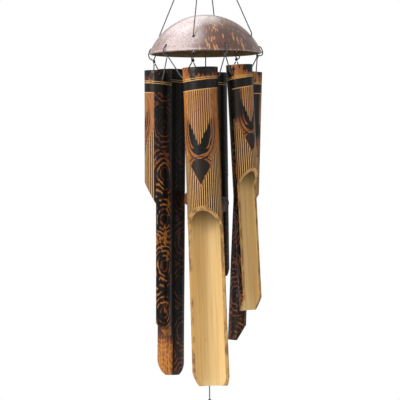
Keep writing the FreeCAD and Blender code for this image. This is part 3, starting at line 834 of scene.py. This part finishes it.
@dataclass
class Canopy:
    """The coconut shell, the cords that carry it and the ties round its rim. Millimetres.

    Attributes:
        cord: What its cords are made of.
        rim_drop: How far the rim lies below the hang ring's centre.
        rim_roundness: How round the rim is, where 1 is a half circle.
        swell: How uneven the shell is, in lumps of some 1 / swell_grain; less so below even_below.
        drill_past: How far past the wall each drill bit goes.
        side_azimuth: The way that the side suspension cord runs; front_azimuth is the other's.
        stand_off: How far each suspension cord stands off the shell where it bends.
        start_overlap: How far the cords start inside the top knot.
    """

    cord: CordStock
    rim_drop: float = 144.0
    rim_radius: float = 58.4
    height: float = 40.4
    wall: float = 3.2
    rim_roundness: float = 0.75
    swell: float = 0.35
    swell_grain: float = 0.028
    even_below: float = 12.0
    drill_past: float = 3.0
    rim_hole_height: float = 7.0
    rim_hole_radius: float = 1.6
    side_azimuth: float = 76.0
    side_height: float = 17.0
    front_azimuth: float = -14.0
    front_height: float = 15.4
    suspension_hole_radius: float = 1.6
    stand_off: float = 1.5
    top_knot_drop: float = 12.0
    top_knot_radius: float = 2.6
    start_overlap: float = 0.4
    ring_wire_centre: float = 7.0
    ring_loop_radius: float = 2.0
    tie_circle: float = 53.5
    tie_drop: float = 3.4
    loose_tie_drop: float = 7.0
    tie_knot_radius: float = 2.2
    crossing_knot_radius: float = 1.7
    body: str = "canopy"

    # Azimuth of each rim tie, and whether its knot hangs low.
    TIES = {
        "left": (264.0, True),
        "front_left": (313.4, False),
        "front_right": (21.5, False),
        "right": (84.0, False),
        "back_right": (142.7, False),
        "back_left": (194.3, False),
    }

    @property
    def rim(self) -> Vector:
        """Centre of the rim, in millimetres."""
        return Vector((0, 0, -self.rim_drop))

    @property
    def sphere(self) -> float:
        """Radius of the sphere that the shell is a cap of."""
        return (self.rim_radius**2 + self.height**2) / (2 * self.height)

    def on_shell(self, azimuth: float, height: float) -> tuple[Vector, Vector]:
        """A place on the shell's outside.

        Args:
            azimuth: Its azimuth in degrees.
            height: Its height above the rim.

        Returns:
            The place, in millimetres, and the outward direction there.
        """
        centre = self.height - self.sphere
        rise = height - centre
        out = level(azimuth) * math.sqrt(self.sphere**2 - rise**2) + Vector((0, 0, rise))
        return self.rim + Vector((0, 0, centre)) + out, out.normalized()

    def knot(self, tie: str) -> Vector:
        """Centre of a rim tie's knot, in millimetres."""
        azimuth, low = self.TIES[tie]
        drop = self.loose_tie_drop if low else self.tie_drop
        return self.rim + level(azimuth) * self.tie_circle - Vector((0, 0, drop))

    def build(self) -> None:
        """Build the whole canopy."""
        self.build_shell()
        self.build_suspension()
        self.build_ties()
        self.build_top_knot()

    def build_shell(self) -> None:
        """The shell: a turned cap with a rounded rim, slightly uneven as a nut is, and drilled."""
        outer, inner = self.sphere, self.sphere - self.wall
        centre = self.height - self.sphere
        rows, sides, edge = 40, 128, 6

        def dome(radius: float, steps: range) -> list[tuple[float, float]]:
            end = math.acos(-centre / radius)
            angles = [end * i / rows for i in steps]
            return [(radius * math.sin(a), radius * math.cos(a) + centre) for a in angles]

        profile = dome(outer, range(1, rows))
        outer_rim, inner_rim = self.rim_radius, inner * math.sin(math.acos(-centre / inner))
        middle, half = (outer_rim + inner_rim) / 2, (outer_rim - inner_rim) / 2
        lift = half * self.rim_roundness
        for i in range(edge + 1):
            angle = math.pi * i / edge
            profile.append((middle + half * math.cos(angle), lift - lift * math.sin(angle)))
        profile += dome(inner, range(rows - 1, 0, -1))
        bm = bmesh.new()
        top = bm.verts.new(Vector((0, 0, outer + centre)) * MM)
        rings = []
        for radius, height in profile:
            ring = []
            for k in range(sides):
                turn = level(360 * k / sides)
                place = turn * radius + Vector((0, 0, height))
                swell = noise.noise(place * self.swell_grain) * self.swell
                swell *= min(1.0, max(0.0, height / self.even_below))
                ring.append(bm.verts.new((place + turn * swell) * MM))
            rings.append(ring)
        bottom = bm.verts.new(Vector((0, 0, inner + centre)) * MM)
        for k in range(sides):
            after = (k + 1) % sides
            bm.faces.new((top, rings[0][k], rings[0][after]))
            bm.faces.new((bottom, rings[-1][after], rings[-1][k]))
        for j, (upper, lower) in enumerate(zip(rings, rings[1:])):
            for face in bridge(bm, upper, lower):
                side = Face.INSIDE if j >= rows + edge // 2 else Face.OUTSIDE
                face.material_index = side.value
        for face in bottom.link_faces:
            face.material_index = Face.INSIDE.value
        bmesh.ops.recalc_face_normals(bm, faces=bm.faces)
        mesh = mesh_of(bm, "coconut_shell_skin")
        piece = new_piece("coconut_shell_skin", mesh)
        piece.location = self.rim * MM
        mesh.materials.append(LacqueredCoconut().material())
        mesh.materials.append(CoconutInside().material())
        bpy.context.view_layer.update()
        spots = [(azimuth, self.rim_hole_height, self.rim_hole_radius)
                 for azimuth, _low in self.TIES.values()]
        for azimuth, height in ((self.side_azimuth, self.side_height),
                                (self.front_azimuth, self.front_height)):
            for side in (azimuth, azimuth + 180):
                spots.append((side, height, self.suspension_hole_radius))
        holes = []
        for azimuth, height, radius in spots:
            place, outward = self.on_shell(azimuth, height)
            start = place - self.rim + outward * self.drill_past
            end = place - self.rim - outward * (self.wall + self.drill_past)
            holes.append((start * MM, end * MM, radius * MM))
        drill(piece, holes)
        smooth_shade(piece.data, 40)
        settle(piece, self.body, "coconut_shell")
        LOG.info("coconut shell: %d faces", len(piece.data.polygons))

    def build_suspension(self) -> None:
        """The two cords from the top knot through the shell and back, and their crossing knot."""
        gather = Vector((0, 0, -self.top_knot_drop))
        levels = []
        for name, azimuth, height in (("side", self.side_azimuth, self.side_height),
                                      ("front", self.front_azimuth, self.front_height)):
            halves = []
            for side in (azimuth, azimuth + 180):
                place, outward = self.on_shell(side, height)
                outside = place + outward * self.stand_off
                inside = place - outward * (self.wall + self.stand_off)
                along = (outside - gather).normalized()
                start = gather + along * (self.top_knot_radius - self.start_overlap)
                near = outside - along * 6 * 2 * self.cord.radius
                halves.append([start, near, outside, inside])
                levels.append(inside.z)
            route = [p * MM for p in halves[0] + halves[1][::-1]]
            self.cord.run(f"suspension_cord_{name}", self.body, route, "taut")
        crossing = Vector((0, 0, sum(levels) / len(levels)))
        route = [p * MM for p in knot_route(crossing, self.crossing_knot_radius, self.cord.radius)]
        self.cord.tie("crossing_knot_turns", "crossing_knot", self.body, [route], 0.8)

    def build_ties(self) -> None:
        """The six rim ties: each a loop through its hole and round the rim, knotted below it."""
        room = 3 * self.cord.radius
        loops, knots = [], []
        for tie, (azimuth, _low) in self.TIES.items():
            place, outward = self.on_shell(azimuth, self.rim_hole_height)
            knot = self.knot(tie)
            outside = place + outward * room
            inside = place - outward * (self.wall + room)
            below = self.rim + level(azimuth) * (self.rim_radius + room) - Vector((0, 0, room))
            loops.append([p * MM for p in (knot, inside, outside, below)])
            turn = math.radians(azimuth * 3)
            route = knot_route(knot, self.tie_knot_radius, self.cord.radius, turn)
            knots.append([p * MM for p in route])
        self.cord.tie("rim_tie_cords", "rim_ties", self.body, loops + knots)

    def build_top_knot(self) -> None:
        """The knot that gathers the strands, with its loop round the ring's wire."""
        centre = Vector((0, 0, -self.top_knot_drop))
        wire = Vector((0, 0, -self.ring_wire_centre))
        loop = []
        for i in range(12):
            angle = 2 * math.pi * i / 12
            spoke = Vector((0, math.sin(angle), math.cos(angle)))
            loop.append((wire + spoke * self.ring_loop_radius) * MM)
        knot = [p * MM for p in knot_route(centre, self.top_knot_radius, self.cord.radius, 0.6)]
        self.cord.tie("top_knot_turns", "top_knot", self.body, [loop, knot])


@dataclass
class ScoopedTube:
    """One bamboo tube with its scoop, and the cord laced through it. Millimetres and degrees.

    Attributes:
        name: The tube's place in the ring of six.
        ties: The two rim ties that its cord hangs from.
        top_diameter: Its diameter at the top; it tapers from there to the waist, then to the foot.
        scoop_start: Depth at which the scoop reaches the skin.
        scoop_slope: How steeply the saw slants inward there: the run in over the run down.
        scoop_azimuth: The way that the scoop faces.
        split_offset: How far the split below the scoop lies from the axis.
        tip_rise: How far up the tip's chamfers reach, over a run of tip_depth inward.
        lean: How far its foot is tilted to the right.
        ring: As in Carving, like tilt, shift and smoke.
    """

    name: str
    ties: tuple[str, str]
    top_diameter: float
    waist_diameter: float
    foot_diameter: float
    wall: float
    length: float
    scoop_start: float
    scoop_slope: float
    scoop_azimuth: float
    split_offset: float
    tip_rise: float
    tip_depth: float
    lean: float
    ring: float
    tilt: float
    shift: float
    smoke: float

    WAIST = 34.0
    HOLE_DROP = 10.0
    HOLE_RADIUS = 1.4
    CORD_RISE = 0.5
    EDGE_ROOM = 1.1
    KNOT_GAP = 0.3
    NODE = (13.5, 16.5)
    NODE_SINK = 0.3
    NODE_SAG = 0.6
    SWELL = 0.18
    WORN_EDGE = 0.3

    def radius_at(self, depth: float) -> float:
        """The tube's outer radius at a depth below its top."""
        if depth < self.WAIST:
            share = depth / self.WAIST
            return (self.top_diameter * (1 - share) + self.waist_diameter * share) / 2
        share = (depth - self.WAIST) / (self.length - self.WAIST)
        return (self.waist_diameter * (1 - share) + self.foot_diameter * share) / 2

    def scoop_end(self, n: float) -> float:
        """Depth at which the slanting saw cut meets the surface, n from the axis to the scoop."""
        return self.scoop_start + (self.waist_diameter / 2 - n) / self.scoop_slope

    def tip_end(self, n: float) -> float:
        """Depth of the tip, n from the axis to the scoop."""
        past = min(max(self.split_offset - n, 0.0), self.tip_depth)
        return self.length - self.tip_rise + past / self.tip_depth * self.tip_rise

    def columns(self, inset: float) -> list[tuple[float, bool]]:
        """Angles round the tube from its scoop, each with whether it runs on to the tip.

        Args:
            inset: How far inside the skin the surface lies.

        Returns:
            The angles in radians, from one edge of the split round the front and the back.
        """
        radius = self.waist_diameter / 2 - inset
        edge = math.acos(self.split_offset / radius)
        foot = self.foot_diameter / 2 - inset
        corner = math.acos(max(-0.98, (self.split_offset - self.tip_depth) / foot))
        front, chamfer, back = 36, 10, 44
        stops = [-edge + 2 * edge * i / front for i in range(front)]
        stops += [edge + (corner - edge) * i / chamfer for i in range(chamfer)]
        stops += [corner + 2 * (math.pi - corner) * i / back for i in range(back)]
        stops += [2 * math.pi - corner + (corner - edge) * i / chamfer for i in range(chamfer)]
        return [(angle, i == 0 or i >= front) for i, angle in enumerate(stops)]

    def surface(
        self, bm: bmesh.types.BMesh, inset: float, rows: tuple[int, int, int]
    ) -> list[list]:
        """Lay out one surface of the tube as columns of vertices.

        Args:
            bm: The mesh that they are added to.
            inset: How far inside the skin the surface lies: 0 for the skin itself.
            rows: How many rows there are down to the scoop, along it and down to the tip.

        Returns:
            Each column's vertices from the top down.
        """
        above, along, below = rows
        ready = self.scoop_start - 6.0
        facing = math.radians(self.scoop_azimuth)
        split = self.scoop_end(self.split_offset)
        columns = []
        for angle, whole in self.columns(inset):
            nominal = (self.waist_diameter / 2 - inset) * math.cos(angle)
            first = split if whole else self.scoop_end(nominal)
            depths = [ready * i / above for i in range(above)]
            depths += [ready + (first - ready) * i / along for i in range(along + 1)]
            if whole:
                foot = (self.foot_diameter / 2 - inset) * math.cos(angle)
                last = self.tip_end(min(foot, self.split_offset))
                depths += [split + (last - split) * i / below for i in range(1, below + 1)]
            column = []
            for depth in depths:
                radius = self.radius_at(depth) - inset
                turn = angle + facing
                out = Vector((math.sin(turn), -math.cos(turn), 0.0))
                place = out * radius - Vector((0, 0, depth))
                grain = Vector((out.x * 1.5, out.y * 1.5, depth * 0.012))
                swell = noise.noise(grain) * self.SWELL
                column.append(bm.verts.new((place + out * swell) * MM))
            columns.append(column)
        return columns

    def build_mesh(self) -> bpy.types.Mesh:
        """Build the tube's mesh in its own frame: top centre at the origin."""
        bm = bmesh.new()
        rows = (30, 14, 30)
        skin = self.surface(bm, 0.0, rows)
        bore = self.surface(bm, self.wall, rows)
        count = len(skin)
        for columns, zone in ((skin, Zone.SKIN), (bore, Zone.BORE)):
            for i in range(count):
                left, right = columns[i], columns[(i + 1) % count]
                for j in range(min(len(left), len(right)) - 1):
                    face = bm.faces.new((left[j], left[j + 1], right[j + 1], right[j]))
                    face.material_index = zone.value
        tops = ([column[0] for column in skin], [column[0] for column in bore])
        for outer_loop, inner_loop in ((self.outline(skin), self.outline(bore)), tops):
            for i in range(len(outer_loop)):
                j = (i + 1) % len(outer_loop)
                face = bm.faces.new((outer_loop[i], outer_loop[j], inner_loop[j], inner_loop[i]))
                face.material_index = Zone.CUT.value
        bmesh.ops.recalc_face_normals(bm, faces=bm.faces)
        return mesh_of(bm, f"tube_{self.name}_bamboo")

    def outline(self, columns: list[list]) -> list:
        """The loop of vertices round the scoop and the tip of one surface."""
        split_row = min(len(c) for c in columns) - 1
        # The first column and those from first_whole on reach the tip.
        first_whole = [i for i, c in enumerate(columns) if len(c) > split_row + 1][1]
        loop = [columns[i][split_row] for i in range(first_whole + 1)]
        loop += columns[first_whole][split_row + 1 :]
        loop += [columns[i][-1] for i in range(first_whole + 1, len(columns))]
        loop += columns[0][split_row + 1 :][::-1]
        return loop

    def membrane(self) -> bpy.types.Mesh:
        """The natural node that closes the tube: a thin disc that bulges down a little."""
        sides, rings = 48, 8
        radius = self.radius_at(self.NODE[0]) - self.wall + self.NODE_SINK
        bm = bmesh.new()
        rims = []
        for depth in self.NODE:
            centre = bm.verts.new(Vector((0, 0, -depth - self.NODE_SAG)) * MM)
            loops = []
            for j in range(1, rings + 1):
                share = j / rings
                drop = depth + self.NODE_SAG * (1 - share * share)
                spokes = [level(360 * k / sides) * radius * share for k in range(sides)]
                loops.append([bm.verts.new((out - Vector((0, 0, drop))) * MM) for out in spokes])
            for k in range(sides):
                bm.faces.new((centre, loops[0][k], loops[0][(k + 1) % sides]))
            for upper, lower in zip(loops, loops[1:]):
                bridge(bm, upper, lower)
            rims.append(loops[-1])
        bridge(bm, *rims)
        bmesh.ops.recalc_face_normals(bm, faces=bm.faces)
        return mesh_of(bm, f"tube_{self.name}_node")

    def build(self, canopy: Canopy, bore: bpy.types.Material, edge: bpy.types.Material) -> None:
        """Build the tube and its cord.

        Args:
            canopy: The canopy that the tube hangs from.
            bore: The material of bare bamboo.
            edge: The material of sawn bamboo.
        """
        body, node = f"{self.name}_tube", f"tube_{self.name}"
        place = Matrix.Translation(top_centre(node))
        place = place @ Matrix.Rotation(math.radians(-self.lean), 4, "Y")
        first, last = (canopy.knot(tie) for tie in self.ties)
        line = last - first
        azimuth = math.degrees(math.atan2(line.x, -line.y))
        across = level(azimuth)

        piece = new_piece(f"{node}_bamboo", self.build_mesh())
        piece.matrix_world = place
        carving = Carving(self.scoop_azimuth, self.scoop_start, self.waist_diameter / 2, self.ring,
                          self.tilt, self.length, self.shift, self.smoke)
        skin = BurntBamboo(f"burnt_bamboo_{self.name}", carving)
        for material in (skin.material(), bore, edge):
            piece.data.materials.append(material)
        reach = self.top_diameter / 2 + 3
        drop = Vector((0, 0, -self.HOLE_DROP))
        hole = ((drop - across * reach) * MM, (drop + across * reach) * MM, self.HOLE_RADIUS * MM)
        drill(piece, [hole])
        soften = piece.modifiers.new("worn_edges", "BEVEL")
        soften.width = self.WORN_EDGE * MM
        soften.segments = 2
        soften.limit_method = "ANGLE"
        soften.angle_limit = math.radians(50)
        applied(piece)
        smooth_shade(piece.data)
        settle(piece, body, node)

        membrane = new_piece(f"{node}_membrane", self.membrane())
        membrane.matrix_world = place
        membrane.data.materials.append(bore)
        smooth_shade(membrane.data)
        settle(membrane, body, None)

        reach = self.top_diameter / 2 + self.EDGE_ROOM
        height = Vector((0, 0, self.CORD_RISE - self.HOLE_DROP))
        near = place @ ((height - across * reach) * MM)
        far = place @ ((height + across * reach) * MM)
        clear = (canopy.tie_knot_radius + self.KNOT_GAP) * MM
        start = first * MM + (near - first * MM).normalized() * clear
        end = last * MM + (far - last * MM).normalized() * clear
        inward = (far - near).normalized() * 2 * MM
        route = [start, near.lerp(start, 0.25), near, near + inward]
        route += [far - inward, far, far.lerp(end, 0.25), end]
        canopy.cord.run(f"cord_{self.name}", body, route, "hanging")
        LOG.info("tube %s: %d faces", self.name, len(piece.data.polygons))


@dataclass
class Striker:
    """The disc on the central cord, its knots and the wind catcher below. Millimetres.

    Attributes:
        cord: What its cords are made of.
        clapper_drop: How far the disc's middle lies below the shell's rim.
        hole_offset: How far its hole is off centre.
        swell: How uneven its edge is, in lumps of some 1 / swell_grain; it is even within even_within.
        lean: How far it is tilted, in degrees.
    """

    cord: CordStock
    clapper_drop: float = 151.9
    radius: float = 23.2
    thickness: float = 15.5
    edge_round: float = 6.0
    hole_radius: float = 2.5
    hole_offset: float = 0.8
    swell: float = 0.25
    swell_grain: float = 0.05
    even_within: float = 8.0
    lean: float = 11.0

    def knot_at(self, node: str, body: str, turn: float) -> None:
        """Tie a knot in place of a CAD bead.

        Args:
            node: The CAD bead.
            body: The body that it moves with.
            turn: How far the knot is turned about the vertical, in radians.
        """
        low, high = (Vector(corner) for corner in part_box(node))
        route = knot_route((low + high) / 2, (high.x - low.x) / 2, self.cord.radius * MM, turn)
        self.cord.tie(f"{node}_turns", node, body, [route])

    def build_disc(self, rim_drop: float) -> None:
        """The clapper: a turned disc with a well rounded edge, bored for its cord."""
        sides, arc = 96, 8
        half = self.thickness / 2
        flat = self.radius - self.edge_round
        profile = [(self.hole_radius, half), (self.hole_radius + self.hole_offset, half)]
        width = flat - self.hole_radius
        profile += [(self.hole_radius + width * i / 6, half) for i in range(1, 6)]
        for i in range(arc + 1):
            angle = math.pi / 2 * (1 - i / arc)
            out = flat + self.edge_round * math.cos(angle)
            profile.append((out, half - self.edge_round * (1 - math.sin(angle))))
        profile += [(out, -height) for out, height in reversed(profile)]
        bm = bmesh.new()
        rings = []
        for out, height in profile:
            ring = []
            for k in range(sides):
                place = level(360 * k / sides) * out + Vector((-self.hole_offset, 0, height))
                if out <= self.hole_radius:
                    place.x += self.hole_offset
                if out > self.even_within:
                    swell = noise.noise(place * self.swell_grain) * self.swell
                    place += place.normalized() * swell
                ring.append(bm.verts.new(place * MM))
            rings.append(ring)
        for upper, lower in zip(rings, rings[1:] + rings[:1]):
            bridge(bm, upper, lower)
        bmesh.ops.recalc_face_normals(bm, faces=bm.faces)
        mesh = mesh_of(bm, "clapper_disc")
        piece = new_piece("clapper_disc", mesh)
        piece.matrix_world = Matrix.Translation(
            Vector((0, 0, -rim_drop - self.clapper_drop)) * MM
        ) @ Matrix.Rotation(math.radians(self.lean), 4, "Y")
        mesh.materials.append(TurnedCoconutWood().material())
        smooth_shade(mesh)
        settle(piece, "striker", "clapper")

    def build(self, rim_drop: float) -> None:
        """Build the striker, its cords and the wind catcher."""
        self.knot_at("striker_knot", "striker_pivot", 0.0)
        self.knot_at("clapper_knot", "catcher_pivot", 0.8)
        self.knot_at("catcher_knot", "catcher_line", 0.3)
        self.build_disc(rim_drop)
        for node, body in (("striker_cord", "striker"), ("lower_cord", "catcher_line")):
            low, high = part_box(node)
            top, bottom = Vector((0, 0, high[2])), Vector((0, 0, low[2]))
            route = [top, top.lerp(bottom, 0.5), bottom]
            self.cord.run(node, body, route, "taut")
        self.hang_sail()

    def hang_sail(self) -> None:
        """The sail of the wind catcher and the loop of cord through its eye."""
        low, high = (Vector(corner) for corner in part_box("catcher_loop"))
        centre = (low + high) / 2
        reach = (high.z - low.z) / 2 - self.cord.radius * MM
        turns = [math.tau * i / 24 for i in range(24)]
        route = [centre + Vector((0, math.sin(turn), math.cos(turn))) * reach for turn in turns]
        self.cord.tie("catcher_loop_turn", "catcher_loop", "catcher", [route])
        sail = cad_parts["wind_catcher"]
        sail.data.materials.clear()
        sail.data.materials.append(CarvedSail(top=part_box("wind_catcher")[1][2] / MM).material())


# How bright the room is beside the white backdrop.
ROOM_LIGHT = 0.45
# Metres: the paper's height, the point that the lamps face, and the camera's place.
FLOOR_HEIGHT = -0.75
AIM = Vector((0, 0, -0.28))
CAMERA_PLACE = (-0.0075, -2.35, -0.2942)
CAMERA_ANGLE = math.radians(10.02)
CAMERA_ROLL = math.radians(0.69)
# Each lamp's place, width and power, in metres and watts.
LAMPS = (
    ("key_softbox", (-1.75, -1.6, 0.6), 1.3, 32.0),
    ("top_softbox", (-1.0, -0.1, 1.5), 2.0, 34.0),
    ("back_softbox", (-0.4, 1.3, 1.5), 1.6, 15.0),
    ("fill_softbox", (1.7, -1.2, 0.2), 1.2, 3.0),
)


def stage_scene() -> None:
    """Set up the white paper, the soft lights and the camera."""
    bm = bmesh.new()
    bmesh.ops.create_grid(bm, x_segments=8, y_segments=8, size=1.0)
    mesh = mesh_of(bm, "paper_floor")
    floor = new_piece("paper_floor", mesh)
    floor.location.z = FLOOR_HEIGHT
    mesh.materials.append(StudioPaper().material())

    world = bpy.data.worlds.new("studio")
    bpy.context.scene.world = world
    world.use_nodes = True
    tree = world.node_tree
    seen = add_node(tree, "LightPath").outputs["Is Camera Ray"]
    # The room is dimmer than the white backdrop, so that the lamps shape the piece.
    strength = formula(tree, "room + (1 - room) * seen", {"room": ROOM_LIGHT, "seen": seen})
    feed(tree, tree.nodes["Background"], {"Color": srgb("FFFFFF"), "Strength": strength})

    for name, place, size, power in LAMPS:
        light = bpy.data.lights.new(name, "AREA")
        light.size = size
        light.energy = power
        lamp = new_piece(name, light)
        lamp.location = place
        lamp.rotation_euler = (AIM - Vector(place)).to_track_quat("-Z", "Y").to_euler()

    camera = bpy.data.cameras.new("camera")
    camera.angle = CAMERA_ANGLE
    camera.clip_end = 50.0
    eye = new_piece("camera", camera)
    eye.location = CAMERA_PLACE
    eye.rotation_euler = (math.radians(90), CAMERA_ROLL, 0.0)
    bpy.context.scene.camera = eye
    bpy.context.scene.view_settings.view_transform = "Standard"


TUBES = (
    ScoopedTube(
        "front", ties=("front_left", "front_right"), top_diameter=36.0, waist_diameter=34.8,
        foot_diameter=37.9, wall=3.4, length=322.4, scoop_start=139.6, scoop_slope=0.75,
        scoop_azimuth=-11.0, split_offset=0.0, tip_rise=15.7, tip_depth=12.0, lean=1.28, ring=12.8,
        tilt=-1.5, shift=10.0, smoke=0.0,
    ),
    ScoopedTube(
        "right_front", ties=("front_right", "right"), top_diameter=27.0, waist_diameter=26.0,
        foot_diameter=25.4, wall=2.8, length=250.0, scoop_start=105.1, scoop_slope=0.7,
        scoop_azimuth=42.0, split_offset=2.0, tip_rise=13.0, tip_depth=8.0, lean=2.3, ring=13.7,
        tilt=-1.7, shift=0.0, smoke=0.3,
    ),
    ScoopedTube(
        "right_back", ties=("right", "back_right"), top_diameter=25.0, waist_diameter=25.4,
        foot_diameter=28.4, wall=2.8, length=279.3, scoop_start=126.7, scoop_slope=0.7,
        scoop_azimuth=95.0, split_offset=2.6, tip_rise=15.9, tip_depth=8.7, lean=-2.6, ring=13.0,
        tilt=-0.6, shift=25.0, smoke=0.5,
    ),
    ScoopedTube(
        "back", ties=("back_right", "back_left"), top_diameter=26.0, waist_diameter=25.4,
        foot_diameter=26.4, wall=2.8, length=213.6, scoop_start=92.0, scoop_slope=0.7,
        scoop_azimuth=169.0, split_offset=0.0, tip_rise=8.0, tip_depth=6.0, lean=0.0, ring=12.6,
        tilt=0.8, shift=40.0, smoke=0.9,
    ),
    ScoopedTube(
        "left_back", ties=("back_left", "left"), top_diameter=28.8, waist_diameter=28.6,
        foot_diameter=27.8, wall=2.9, length=317.4, scoop_start=137.0, scoop_slope=0.7,
        scoop_azimuth=188.0, split_offset=0.0, tip_rise=15.0, tip_depth=12.0, lean=-1.0, ring=13.4,
        tilt=0.9, shift=33.0, smoke=0.75,
    ),
    ScoopedTube(
        "left_front", ties=("left", "front_left"), top_diameter=28.0, waist_diameter=27.6,
        foot_diameter=27.2, wall=2.9, length=271.0, scoop_start=113.8, scoop_slope=0.6,
        scoop_azimuth=262.0, split_offset=0.0, tip_rise=13.0, tip_depth=9.0, lean=-0.69, ring=13.9,
        tilt=1.2, shift=12.0, smoke=0.0,
    ),
)


def main() -> None:
    """Build every piece and report it."""
    logging.basicConfig(level=logging.INFO, format="%(name)s: %(message)s")
    stage_scene()
    cord = CordStock()
    canopy = Canopy(cord)
    canopy.build()
    edge = SawnBamboo().material()
    for tube in TUBES:
        bore = BambooBore(f"bamboo_bore_{tube.name}", tube.scoop_start).material()
        tube.build(canopy, bore, edge)
    Striker(cord).build(canopy.rim_drop)
    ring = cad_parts["hang_ring"]
    ring.data.materials.clear()
    ring.data.materials.append(DrawnSteel().material())


if __name__ == "__main__":
    main()
